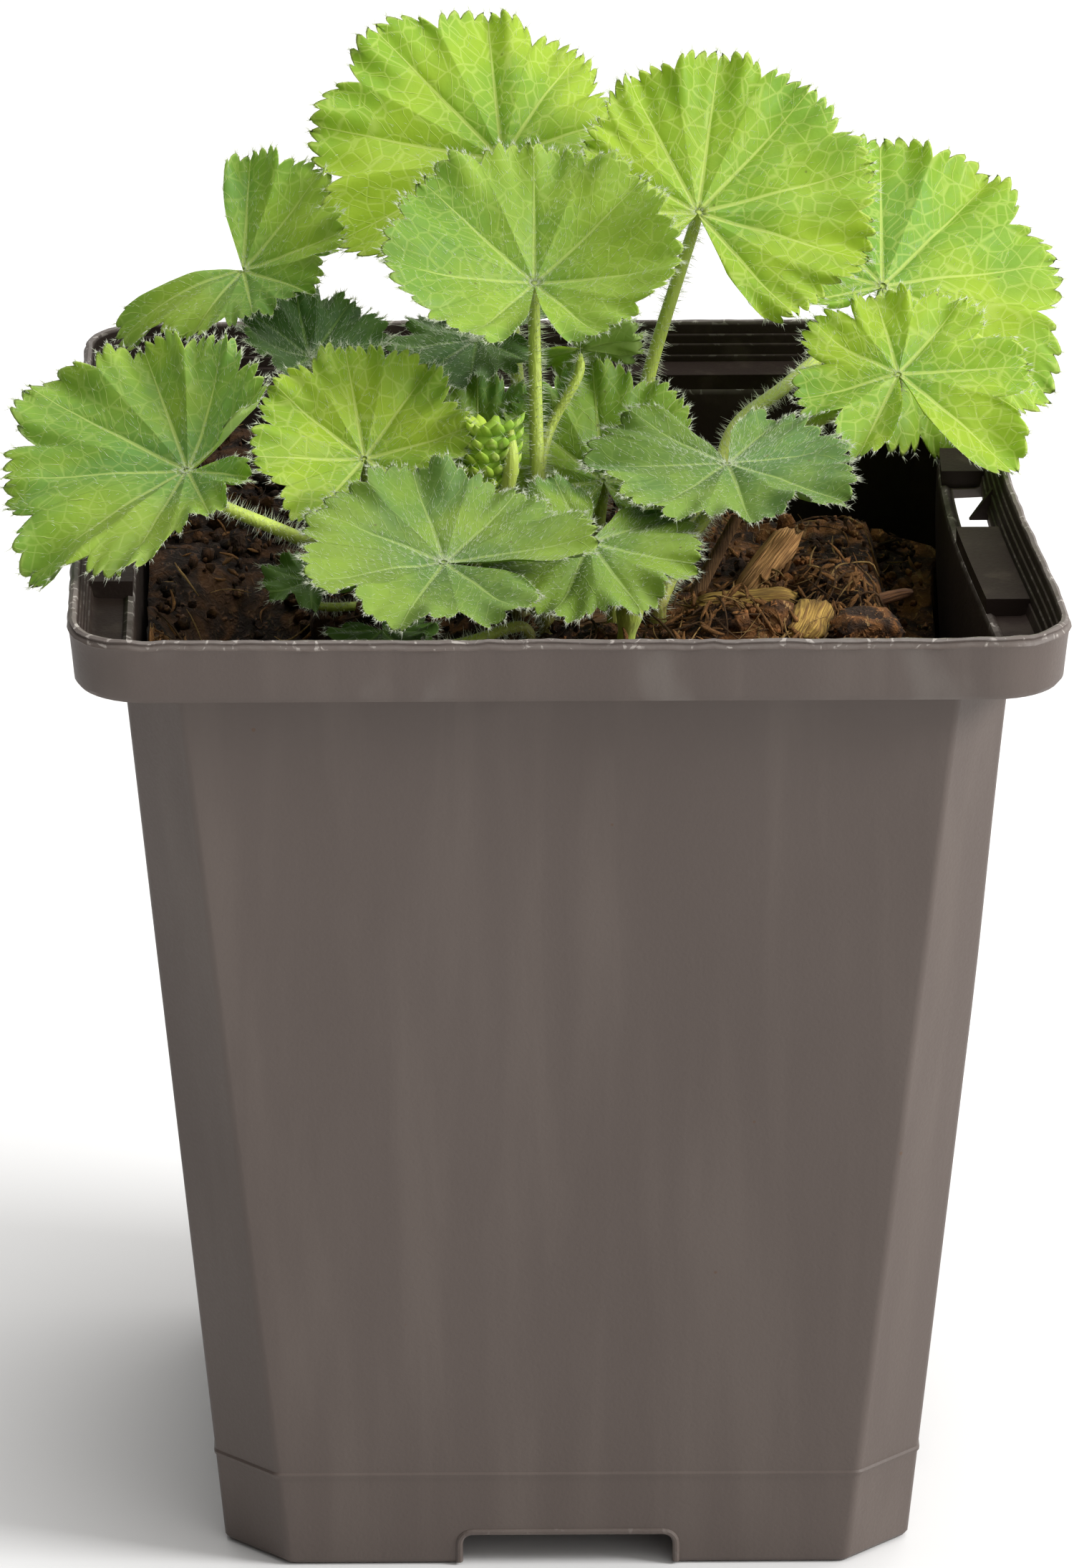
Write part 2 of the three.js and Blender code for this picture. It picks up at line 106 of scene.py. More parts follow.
def rough(points: Array, cell: float, seed: int, octaves: int = 3) -> Array:
    """Layered noise: each layer half the size and half the height of the last.

    Args:
        points: (n, 3) places.
        cell: size of the largest layer.
        seed: which pattern.
        octaves: how many layers.

    Returns:
        Array: n values, about -1 to 1.
    """
    total = np.zeros(len(points))
    for k in range(octaves):
        total += grain(points, cell / 2 ** k, seed + 17 * k) / 2 ** k
    return total / (2 - 2 ** (1 - octaves))


class Bench:
    """Turns points and faces in millimetres about the pot axis into finished pieces."""

    @staticmethod
    def piece(name: str, points: Array, faces: list, slot: str, covers: tuple[str, ...] = (),
              materials: tuple = (), picks: Array | None = None, smooth: bool = True,
              marks: dict[str, Array] | None = None) -> bpy.types.Object:
        """Make one visible piece.

        Args:
            name: name of the piece.
            points: (n, 3) vertices in millimetres, X from the pot axis.
            faces: lists of vertex numbers.
            slot: material slot of the record; not used.
            covers: nodes of the frame that the piece stands for.
            materials: finishes of the piece.
            picks: finish number of each face.
            smooth: whether faces are shaded smooth.
            marks: named values, one per vertex, that finishes read.

        Returns:
            bpy.types.Object: the piece, riding on the root body.
        """
        mesh = bpy.data.meshes.new(name)
        placed = (np.asarray(points, float) + [POT_X, 0, 0]) * MM
        mesh.from_pydata(placed.tolist(), [], faces)
        for material in materials:
            mesh.materials.append(material)
        count = len(mesh.polygons)
        if picks is not None:
            mesh.polygons.foreach_set("material_index", np.asarray(picks, np.int32))
        mesh.polygons.foreach_set("use_smooth", np.full(count, smooth))
        for key, values in (marks or {}).items():
            layer = mesh.attributes.new(key, "FLOAT", "POINT")
            layer.data.foreach_set("value", np.asarray(values, np.float32))
        mesh.update()
        obj = bpy.data.objects.new(name, mesh)
        bpy.context.scene.collection.objects.link(obj)
        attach(obj, ROOT)
        if covers:
            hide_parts(*covers)
        LOG.info("%s: %d faces", name, count)
        return obj

    @staticmethod
    def cutter(name: str, points: Array, faces: list) -> bpy.types.Object:
        """Make a helper solid for a cut; it is removed after use.

        Args:
            name: name of the helper.
            points: vertices in millimetres from the pot axis.
            faces: lists of vertex numbers.

        Returns:
            bpy.types.Object: the helper.
        """
        mesh = bpy.data.meshes.new(name)
        mesh.from_pydata(((np.asarray(points, float) + [POT_X, 0, 0]) * MM).tolist(), [], faces)
        obj = bpy.data.objects.new(name, mesh)
        bpy.context.scene.collection.objects.link(obj)
        return obj

    @staticmethod
    def carve(target: bpy.types.Object, tools: list[bpy.types.Object]) -> None:
        """Cut helper solids out of a piece and remove them.

        Args:
            target: the piece that is cut.
            tools: the helper solids.
        """
        for tool in tools:
            cut = target.modifiers.new("cut", "BOOLEAN")
            cut.operation, cut.solver, cut.object = "DIFFERENCE", "EXACT", tool
        deps = bpy.context.evaluated_depsgraph_get()
        mesh = bpy.data.meshes.new_from_object(target.evaluated_get(deps))
        target.modifiers.clear()
        target.data = mesh
        for tool in tools:
            bpy.data.objects.remove(tool, do_unlink=True)


def strip_faces(rows: int, columns: int, closed: bool, start: int = 0) -> list:
    """Quads over a grid of rows, each with the same number of columns.

    Args:
        rows: number of rows.
        columns: vertices in a row.
        closed: whether each row closes on itself.
        start: number of the first vertex.

    Returns:
        list: quads that face out when rows climb and columns turn left.
    """
    j = np.arange(columns if closed else columns - 1)
    nxt = (j + 1) % columns
    quads = [np.stack([r * columns + j, r * columns + nxt, (r + 1) * columns + nxt,
                       (r + 1) * columns + j], 1) for r in range(rows - 1)]
    return (np.concatenate(quads) + start).tolist()


def box_solid(x: tuple[float, float], y: tuple[float, float], z: tuple[float, float],
              steps: int = 1) -> tuple[Array, list]:
    """A box with its Y run split into steps.

    Args:
        x: lowest and highest X.
        y: lowest and highest Y.
        z: lowest and highest Z.
        steps: number of stretches along Y.

    Returns:
        tuple[Array, list]: vertices and faces.
    """
    points = []
    for i in range(steps + 1):
        at = y[0] + (y[1] - y[0]) * i / steps
        points += [[x[0], at, z[0]], [x[1], at, z[0]], [x[1], at, z[1]], [x[0], at, z[1]]]
    faces = []
    for i in range(steps):
        for k in range(4):
            a, b = 4 * i + k, 4 * i + (k + 1) % 4
            faces.append([b, a, a + 4, b + 4])
    faces += [[0, 1, 2, 3], [4 * steps + 3, 4 * steps + 2, 4 * steps + 1, 4 * steps]]
    return np.array(points, float), faces


def smooth_path(knots: Array, count: int) -> Array:
    """Evenly spaced places on a centripetal spline through the knots.

    Args:
        knots: (n, 3) places the path goes through.
        count: how many places to give back.

    Returns:
        Array: (count, 3) places.
    """
    p = np.vstack([2 * knots[0] - knots[1], knots, 2 * knots[-1] - knots[-2]])
    dense = []
    for i in range(1, len(p) - 2):
        steps = [np.linalg.norm(p[i + k] - p[i + k - 1]) ** 0.5 + 1e-9 for k in range(3)]
        t0, t1 = 0.0, steps[0]
        t2, t3 = t1 + steps[1], t1 + steps[1] + steps[2]
        t = np.linspace(t1, t2, 24, endpoint=i == len(p) - 3)[:, None]
        a1 = (t1 - t) / (t1 - t0) * p[i - 1] + (t - t0) / (t1 - t0) * p[i]
        a2 = (t2 - t) / (t2 - t1) * p[i] + (t - t1) / (t2 - t1) * p[i + 1]
        a3 = (t3 - t) / (t3 - t2) * p[i + 1] + (t - t2) / (t3 - t2) * p[i + 2]
        b1 = (t2 - t) / (t2 - t0) * a1 + (t - t0) / (t2 - t0) * a2
        b2 = (t3 - t) / (t3 - t1) * a2 + (t - t1) / (t3 - t1) * a3
        dense.append((t2 - t) / (t2 - t1) * b1 + (t - t1) / (t2 - t1) * b2)
    line = np.vstack(dense)
    run = np.concatenate([[0], np.cumsum(np.linalg.norm(np.diff(line, axis=0), axis=1))])
    at = np.linspace(0, run[-1], count)
    return np.stack([np.interp(at, run, line[:, k]) for k in range(3)], 1)


def tube(path: Array, radii: Array, sides: int, flute: float = 0.0) -> tuple[Array, list]:
    """A closed tube along a path.

    Args:
        path: (n, 3) centre line.
        radii: n radii.
        sides: vertices round the tube.
        flute: share of the radius that a groove along the tube takes.

    Returns:
        tuple[Array, list]: vertices and faces.
    """
    ahead = unit(np.gradient(path, axis=0))
    side = np.cross(ahead[0], [0.0, -1.0, 0.2])
    side /= np.linalg.norm(side)
    rows = []
    turn = np.arange(sides) / sides * 2 * np.pi
    shape = 1 - flute * np.exp(-((np.minimum(turn, 2 * np.pi - turn)) / 0.5) ** 2)
    for centre, way, radius in zip(path, ahead, radii):
        side = side - way * (side @ way)
        side /= np.linalg.norm(side)
        other = np.cross(way, side)
        rows.append(centre + (np.cos(turn)[:, None] * side + np.sin(turn)[:, None] * other)
                    * (radius * shape)[:, None])
    points = np.vstack(rows + [path[:1], path[-1:]])
    faces = strip_faces(len(path), sides, True)
    last = len(points) - 1
    foot, head = last - 1, (len(path) - 1) * sides
    for k in range(sides):
        faces.append([foot, (k + 1) % sides, k])
        faces.append([last, head + k, head + (k + 1) % sides])
    return points, faces


def hair_blades(roots: Array, ways: Array, lengths: Array, width: float,
                rng: np.random.Generator) -> tuple[Array, list]:
    """Fine hairs, each two narrow crossed triangles with a slight bend.

    Args:
        roots: (n, 3) feet of the hairs.
        ways: (n, 3) unit directions.
        lengths: n lengths.
        width: width at the foot.
        rng: source of the bends.

    Returns:
        tuple[Array, list]: vertices and faces.
    """
    lean = rng.normal(0, 0.22, ways.shape)
    tips = roots + (ways + lean) * lengths[:, None]
    side = unit(np.cross(ways, rng.normal(0, 1, ways.shape)), 1e-9)
    other = np.cross(ways, side)
    half = width / 2
    points = np.stack([roots - side * half, roots + side * half, roots - other * half,
                       roots + other * half, tips], 1).reshape(-1, 3)
    base = np.arange(len(roots)) * 5
    faces = np.concatenate([np.stack([base, base + 1, base + 4], 1),
                            np.stack([base + 2, base + 3, base + 4], 1)])
    return points, faces.tolist()


def gather(solids: list[tuple[Array, list]]) -> tuple[Array, list]:
    """Put several solids into one set of vertices and faces.

    Args:
        solids: vertices and faces of each.

    Returns:
        tuple[Array, list]: all vertices, and faces numbered to match.
    """
    faces, start = [], 0
    for points, own in solids:
        faces += [[start + v for v in face] for face in own]
        start += len(points)
    return np.vstack([points for points, _ in solids]), faces


def unit(vectors: Array, least: float = 0.0) -> Array:
    """Vectors brought to length 1, with least added to their length against a division by 0."""
    return vectors / (np.linalg.norm(vectors, axis=1)[:, None] + least)


def spin(axis: int, degrees: float) -> Array:
    """A turn about one axis.

    Args:
        axis: 0 for X, 1 for Y, 2 for Z.
        degrees: how far.

    Returns:
        Array: a 3 by 3 turn for column vectors.
    """
    c, s = math.cos(math.radians(degrees)), math.sin(math.radians(degrees))
    i, j = (axis + 1) % 3, (axis + 2) % 3
    matrix = np.eye(3)
    matrix[i, i], matrix[j, j], matrix[i, j], matrix[j, i] = c, c, -s, s
    return matrix


def ball_rings(heights: Array, sides: int) -> Array:
    """Rings of a ball of radius 1.

    Args:
        heights: angle of each ring above the middle, in radians.
        sides: vertices in a ring.

    Returns:
        Array: the rings' places, one ring after another.
    """
    turns = np.arange(sides) / sides * 2 * np.pi
    return np.vstack([np.column_stack([np.cos(turns) * math.cos(a), np.sin(turns) * math.cos(a),
                                       np.full(sides, math.sin(a))]) for a in heights])


def node_box(node: str) -> tuple[Array, Array]:
    """Lowest and highest corner of a node in millimetres, X from the pot axis."""
    low, high = (np.array(c) / MM - [POT_X, 0, 0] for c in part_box(node))
    return low, high


def quarter(side: int) -> tuple[int, int]:
    """Cosine and sine of a number of quarter turns."""
    return round(math.cos(side * math.pi / 2)), round(math.sin(side * math.pi / 2))


# ------------------------------------------------------------------ finishes
class Board:
    """Lays out the nodes of one finish."""

    def __init__(self, name: str) -> None:
        """Start an empty finish.

        Args:
            name: name of the finish.
        """
        self.material = bpy.data.materials.new(name)
        self.material.use_nodes = True
        self.tree = self.material.node_tree
        self.tree.nodes.clear()
        self.coords = self.tree.nodes.new("ShaderNodeTexCoord").outputs["Object"]

    def put(self, kind: str, inputs: dict | None = None, **settings: object) -> bpy.types.Node:
        """Add one node.

        Args:
            kind: node type without its ShaderNode prefix.
            inputs: socket values or sources, by name or number.
            settings: node properties.

        Returns:
            bpy.types.Node: the node.
        """
        node = self.tree.nodes.new("ShaderNode" + kind)
        for key, value in settings.items():
            setattr(node, key, value)
        for key, value in (inputs or {}).items():
            if isinstance(value, bpy.types.NodeSocket):
                self.tree.links.new(value, node.inputs[key])
            else:
                node.inputs[key].default_value = value
        return node

    def math(self, operation: str, a: object, b: object = 0.0, c: object = 0.0) -> bpy.types.NodeSocket:
        """A calculation on one to three values."""
        return self.put("Math", {0: a, 1: b, 2: c}, operation=operation).outputs[0]

    def grade(self, value: object, low: float, high: float, start: float = 0.0,
              end: float = 1.0) -> bpy.types.NodeSocket:
        """A smooth change from start to end as value runs from low to high."""
        return self.put("MapRange", {0: value, 1: low, 2: high, 3: start, 4: end},
                        interpolation_type="SMOOTHSTEP").outputs[0]

    def mix(self, share: object, a: object, b: object) -> bpy.types.NodeSocket:
        """A blend of two colours.

        Args:
            share: share of the second colour.
            a: first colour.
            b: second colour.

        Returns:
            bpy.types.NodeSocket: the blend.
        """
        node = self.put("Mix", {0: share}, data_type="RGBA")
        for place, value in ((6, a), (7, b)):
            if isinstance(value, bpy.types.NodeSocket):
                self.tree.links.new(value, node.inputs[place])
            else:
                node.inputs[place].default_value = (*value, 1.0)
        return node.outputs[2]

    def noise(self, scale: float, detail: float = 3.0, stretch: tuple | None = None,
              warp: float = 0.0) -> bpy.types.NodeSocket:
        """Cloudy noise in the piece's own space.

        Args:
            scale: cells per metre.
            detail: layers of finer noise.
            stretch: scale of each axis.
            warp: how far the noise is distorted.

        Returns:
            bpy.types.NodeSocket: the noise, 0 to 1.
        """
        place = self.coords
        if stretch:
            place = self.put("Mapping", {0: place, 3: stretch}).outputs[0]
        return self.put("TexNoise", {"Vector": place, "Scale": scale, "Detail": detail,
                                     "Distortion": warp}).outputs["Fac"]

    def mark(self, name: str) -> bpy.types.NodeSocket:
        """A value stored on the mesh."""
        return self.put("Attribute", attribute_name=name).outputs["Fac"]

    def finish(self, colour: object, roughness: object, height: object = None, depth: float = 0.0001,
               glow: object = None, share: float = 0.0, **fixed: float) -> bpy.types.Material:
        """Close the finish with its surface shader.

        Args:
            colour: base colour, fixed or from a node.
            roughness: roughness, fixed or from a node.
            height: relief, from a node.
            depth: metres of relief at full height.
            glow: colour of the light that comes through from behind.
            share: share of that light.
            fixed: other fixed inputs of the shader, words joined by underscores.

        Returns:
            bpy.types.Material: the finish.
        """
        inputs: dict = {"Roughness": roughness, "Base Color": colour}
        if not isinstance(colour, bpy.types.NodeSocket):
            inputs["Base Color"] = (*colour, 1.0)
        for key, value in fixed.items():
            inputs[key.replace("_", " ")] = value
        normal = None
        if height is not None:
            normal = self.put("Bump", {"Height": height, "Distance": depth, "Strength": 1.0}).outputs[0]
            inputs["Normal"] = normal
        surface = self.put("BsdfPrincipled", inputs).outputs[0]
        if glow is not None:
            shine = glow if isinstance(glow, bpy.types.NodeSocket) else (*glow, 1.0)
            through = self.put("BsdfTranslucent", {"Color": shine})
            if normal is not None:
                self.tree.links.new(normal, through.inputs["Normal"])
            surface = self.put("MixShader", {0: share, 1: surface, 2: through.outputs[0]}).outputs[0]
        out = self.tree.nodes.new("ShaderNodeOutputMaterial")
        self.tree.links.new(surface, out.inputs[0])
        return self.material


class Tone(Enum):
    """Colourings of the leaves: the same green with painted light, half shade, bluish shade and deep shade,
    and the young leaf's own paler green.
    """

    SUNLIT = "sunlit"
    HALF_LIT = "soft"
    BLUE_SHADE = "blue_shade"
    SHADED = "shaded"
    YOUNG = "young"


@dataclass(frozen=True)
class LeafSkin:
    """Finish of a leaf: veined green, downy, with light coming through."""

    tone: Tone
    light: tuple[float, float, float]
    deep: tuple[float, float, float]
    vein: tuple[float, float, float]
    through: tuple[float, float, float]
    share: float = 0.34
    net: float = 0.55
    rib_gap: float = 2.1

    def make(self, under: bool) -> bpy.types.Material:
        """Build the upper or lower face's finish.

        Args:
            under: whether it is the paler lower face.

        Returns:
            bpy.types.Material: the finish.
        """
        b = Board(f"leaf_{self.tone.value}_{'under' if under else 'upper'}")
        across = b.math("ABSOLUTE", b.mark("across"))
        along, rim, cloud, mottle = b.mark("along"), b.mark("rim"), b.noise(60.0, 3.0), b.noise(900.0, 2.0)
        width = b.grade(rim, 0.0, 1.0, 0.34, 0.08)
        main = b.math("SUBTRACT", 1.0, b.math("MINIMUM", b.math("DIVIDE", across, width), 1.0))
        main = b.grade(main, 0.0, 0.55)
        bend = b.math("MULTIPLY", b.math("SUBTRACT", b.noise(420.0, 2.0), 0.5), 1.5)
        line = b.math("ADD", b.math("SUBTRACT", along, b.math("MULTIPLY", across, 1.25)), bend)
        phase = b.math("FRACT", b.math("DIVIDE", line, self.rib_gap))
        near = b.math("ABSOLUTE", b.math("SUBTRACT", phase, 0.5))
        side = b.math("MULTIPLY", b.grade(near, 0.45, 0.5), b.grade(rim, 0.05, 0.3))
        cells = b.put("TexVoronoi", {"Vector": b.coords, "Scale": 470.0}, feature="DISTANCE_TO_EDGE")
        net = b.grade(cells.outputs[0], 0.0, 0.085, 1.0, 0.0)
        veins = b.math("MAXIMUM", main, b.math("MAXIMUM", b.math("MULTIPLY", side, 0.8),
                                                 b.math("MULTIPLY", net, self.net)))
        body = b.mix(b.grade(cloud, 0.36, 0.62), self.deep, self.light)
        body = b.mix(b.math("MULTIPLY", b.grade(mottle, 0.35, 0.75), 0.25), body, self.light)
        # Painted shade: a darker bluish green laid in cloudy patches and towards the hub, where the cupped
        # blade falls into shade.
        blue_shade = (self.deep[0] * 0.75, self.deep[1] * 0.92, self.deep[2] * 1.9)
        body = b.mix(b.grade(b.noise(45.0, 2.0, warp=0.5), 0.5, 0.68, 0.0, 0.65), body, blue_shade)
        body = b.mix(b.grade(rim, 0.0, 0.55, 0.45, 0.0), body, blue_shade)
        colour = b.mix(b.math("MULTIPLY", veins, 0.7), body, self.vein)
        speck = b.put("TexVoronoi", {"Vector": b.coords, "Scale": 260.0}).outputs["Distance"]
        colour = b.mix(b.grade(speck, 0.05, 0.035, 0.0, 0.7), colour, (0.12, 0.1, 0.03))
        colour = b.mix(b.grade(rim, 0.975, 1.0, 0.0, 0.5), colour, tuple(min(1, c * 1.2) for c in self.vein))
        if under:
            colour = b.mix(0.6, colour, tuple(0.6 * c + 0.1 for c in self.light))
        puff = b.math("ADD", b.math("MULTIPLY", veins, -0.22), b.math("MULTIPLY", mottle, 0.4))
        return b.finish(colour, b.grade(mottle, 0.3, 0.7, 0.46, 0.6), puff, 0.00016,
                        glow=b.mix(b.math("MULTIPLY", veins, 0.4), self.through, self.vein), share=self.share,
                        Sheen_Weight=0.06, Sheen_Roughness=0.5, Specular_IOR_Level=0.3)


# Light, deep, vein and shining-through colours, the share of light that comes through, the net of veins.
# Every tone but the young one is one leaf green with painted light and shade: sunlit brightest, then half
# lit, bluish shade and deep shade.
SKINS = {skin.tone: skin for skin in (
    LeafSkin(Tone.SUNLIT, (0.36, 0.5, 0.035), (0.22, 0.38, 0.03), (0.64, 0.74, 0.2),
             (0.56, 0.78, 0.03), 0.4),
    LeafSkin(Tone.HALF_LIT, (0.29, 0.43, 0.04), (0.16, 0.3, 0.035), (0.52, 0.64, 0.17),
             (0.46, 0.7, 0.04), 0.35, 0.4),
    LeafSkin(Tone.BLUE_SHADE, (0.21, 0.325, 0.03), (0.115, 0.21, 0.028), (0.34, 0.46, 0.12),
             (0.3, 0.5, 0.04), 0.26, 0.2),
    LeafSkin(Tone.SHADED, (0.1, 0.2, 0.025), (0.06, 0.13, 0.018), (0.2, 0.32, 0.07),
             (0.16, 0.34, 0.03), 0.22, 0.15),
    LeafSkin(Tone.YOUNG, (0.6, 0.76, 0.08), (0.34, 0.54, 0.04), (0.7, 0.78, 0.25),
             (0.65, 0.85, 0.05), 0.3, 0.0),
)}


@dataclass(frozen=True)
class StalkSkin:
    """Finish of a leaf stalk: pale ribbed green, browner at the foot."""

    top: tuple[float, float, float] = (0.44, 0.55, 0.08)
    foot: tuple[float, float, float] = (0.3, 0.2, 0.07)

    def make(self, name: str) -> bpy.types.Material:
        """Build the finish.

        Args:
            name: name of the finish.

        Returns:
            bpy.types.Material: the finish.
        """
        b = Board(name)
        rise = b.mark("rise")
        ribs = b.noise(2600.0, 2.0, stretch=(1.0, 1.0, 0.06))
        speck = b.noise(500.0, 4.0)
        colour = b.mix(b.grade(rise, 0.0, 0.45), self.foot, self.top)
        colour = b.mix(b.math("MULTIPLY", b.grade(ribs, 0.35, 0.7), 0.35), colour,
                       tuple(min(1, c * 1.35) for c in self.top))
        colour = b.mix(b.math("MULTIPLY", b.grade(speck, 0.55, 0.75), 0.3), colour,
                       tuple(c * 0.6 for c in self.foot))
        return b.finish(colour, 0.5, ribs, 0.00012, glow=self.top, share=0.15, Sheen_Weight=0.2)


def hair_finish() -> bpy.types.Material:
    """Finish of the white silky hairs.

    Returns:
        bpy.types.Material: the finish.
    """
    b = Board("silky_hair")
    tint = b.noise(300.0, 2.0)
    colour = b.mix(tint, (0.62, 0.68, 0.5), (0.88, 0.9, 0.82))
    return b.finish(colour, 0.5, glow=(0.9, 0.93, 0.8), share=0.45)


@dataclass(frozen=True)
class PotPlastic:
    """Finish of the pot: taupe recycled plastic with flow streaks; the inside is dirty and painted dark with
    shade.
    """

    body: tuple[float, float, float] = (0.089, 0.069, 0.06)
    pale: tuple[float, float, float] = (0.127, 0.102, 0.088)
    # Inside colour: the same plastic painted far darker with shade, with some soil dirt.
    inside: tuple[float, float, float] = (0.022, 0.014, 0.011)

    def make(self, dull: bool) -> bpy.types.Material:
        """Build the finish.

        Args:
            dull: whether it is the dull inside, dirty and painted dark with shade.

        Returns:
            bpy.types.Material: the finish.
        """
        b = Board("pot_inside" if dull else "pot_plastic")
        streak = b.noise(150.0, 4.0, stretch=(1.0, 1.0, 0.05), warp=0.3)
        cloud = b.noise(28.0, 4.0, stretch=(1.0, 1.0, 0.5))
        fine = b.noise(2400.0, 3.0)
        blotch = b.noise(70.0, 3.0, stretch=(1.0, 1.0, 0.6))
        inner = b.mark("inner")
        collar = b.mark("collar")
        colour = b.mix(b.math("MULTIPLY", b.grade(streak, 0.42, 0.72), 0.42), self.body, self.pale)
        colour = b.mix(b.math("MULTIPLY", b.grade(cloud, 0.4, 0.7), 0.3), colour,
                       tuple(c * 0.82 for c in self.body))
        colour = b.mix(b.math("MULTIPLY", collar, b.grade(blotch, 0.56, 0.72, 0.0, 0.45)),
                       colour, (0.17, 0.15, 0.135))
        dust = b.grade(b.noise(260.0, 5.0), 0.5, 0.68)
        height_at = b.put("SeparateXYZ", {0: b.coords}).outputs[2]
        # Painted shade growing with depth down the inside walls, near black low in the pot.
        inside_shade = b.mix(b.grade(height_at, 0.085, 0.112), (0.004, 0.003, 0.0025), self.inside)
        dusty = b.math("MULTIPLY", dust, b.grade(height_at, 0.106, 0.112, 0.08, 0.5))
        colour = b.mix(inner, colour, b.mix(dusty, inside_shade, (0.05, 0.038, 0.028)))
        crumb = b.put("TexVoronoi", {"Vector": b.coords, "Scale": 120.0}).outputs["Distance"]
        colour = b.mix(b.grade(crumb, 0.035, 0.02, 0.0, 0.75), colour, (0.09, 0.05, 0.03))
        # Lighter rubbed wear on the lip, the inner bead and the steps.
        wear_and_glint = b.mark("wear_and_glint")
        colour = b.mix(b.math("MULTIPLY", wear_and_glint, b.grade(b.noise(420.0, 4.0), 0.35, 0.6, 0.35, 1.0)),
                       colour, (0.13, 0.112, 0.1))
        # Painted highlights: bright broken glints along the inner bead and the lip.
        painted_glint = b.grade(b.noise(640.0, 5.0, warp=1.0), 0.58, 0.64)
        colour = b.mix(b.math("MULTIPLY", wear_and_glint, painted_glint), colour, (0.36, 0.33, 0.3))
        rough_at = b.grade(b.math("ADD", cloud, b.math("MULTIPLY", fine, 0.4)), 0.5, 0.9, 0.42, 0.58)
        height = b.math("ADD", b.math("MULTIPLY", fine, 0.35), b.math("MULTIPLY", streak, 0.65))
        if dull:
            rough_at = b.math("ADD", rough_at, 0.2)
        return b.finish(colour, rough_at, height, 0.00009, Specular_IOR_Level=0.14 if dull else 0.34)


@dataclass(frozen=True)
class Earth:
    """Finish of the compost and its crumbs."""

    dark: tuple[float, float, float] = (0.016, 0.008, 0.004)
    warm: tuple[float, float, float] = (0.155, 0.064, 0.018)

    def make(self, name: str, lift: float = 1.0) -> bpy.types.Material:
        """Build the finish.

        Args:
            name: name of the finish.
            lift: brightness against the plain compost.

        Returns:
            bpy.types.Material: the finish.
        """
        b = Board(name)
        clod = b.noise(230.0, 6.0, warp=0.8)
        fleck = b.noise(1100.0, 5.0, warp=1.5)
        thread = b.noise(700.0, 4.0, stretch=(1.0, 0.22, 0.5), warp=2.0)
        dark, warm = (tuple(c * lift for c in tone) for tone in (self.dark, self.warm))
        colour = b.mix(b.grade(clod, 0.42, 0.66), dark, warm)
        colour = b.mix(b.grade(fleck, 0.58, 0.7, 0.0, 0.6), colour, tuple(c * 2.1 for c in warm))
        colour = b.mix(b.grade(thread, 0.64, 0.7, 0.0, 0.55), colour, (0.3 * lift, 0.18 * lift, 0.07 * lift))
        # Painted shade: the compost darkens towards the left, where the hollow lies in shade.
        left = b.grade(b.put("SeparateXYZ", {0: b.coords}).outputs[0], -0.026, -0.004, 0.7, 0.0)
        colour = b.mix(left, colour, tuple(c * 0.4 for c in self.dark))
        height = b.math("ADD", b.math("MULTIPLY", clod, 0.6), b.math("MULTIPLY", fleck, 0.5))
        return b.finish(colour, b.grade(fleck, 0.4, 0.7, 0.95, 0.7), height, 0.0012, Specular_IOR_Level=0.25)


@dataclass(frozen=True)
class Bark:
    """Finish of bark chips, twigs and dry fibres: grain along the piece."""

    name: str
    pale: tuple[float, float, float]
    dark: tuple[float, float, float]

    def make(self) -> bpy.types.Material:
        """Build the finish.

        Returns:
            bpy.types.Material: the finish.
        """
        b = Board(self.name)
        run = b.put("CombineXYZ", {0: b.mark("run"), 1: b.mark("girth"), 2: 0.0}).outputs[0]
        line = b.put("TexNoise", {"Vector": b.put("Mapping", {0: run, 3: (0.25, 3.2, 1.0)}).outputs[0],
                                  "Scale": 1.0, "Detail": 5.0, "Distortion": 0.6}).outputs["Fac"]
        stain = b.noise(210.0, 4.0)
        colour = b.mix(b.grade(line, 0.36, 0.64), self.dark, self.pale)
        colour = b.mix(b.grade(stain, 0.5, 0.7, 0.0, 0.6), colour, tuple(c * 0.45 for c in self.dark))
        return b.finish(colour, 0.82, line, 0.0005, Specular_IOR_Level=0.25)


# ------------------------------------------------------------------ pot
BOW_DEPTH = 22
BOW_HEIGHTS = (67, 112)


def bowed(points: Array) -> Array:
    """Push the right wall in near the rim.

    Args:
        points: (n, 3) places in millimetres from the pot axis.

    Returns:
        Array: the moved places.
    """
    p = np.array(points, float)
    along = np.clip((p[:, 1] + 50) / 100, 0, 1)
    push = BOW_DEPTH * along ** 1.5 * (1 - along) ** 0.8
    p[:, 0] -= push * ease(*BOW_HEIGHTS, p[:, 2]) * np.clip((p[:, 0] - 30) / 15, 0, 1)
    return p


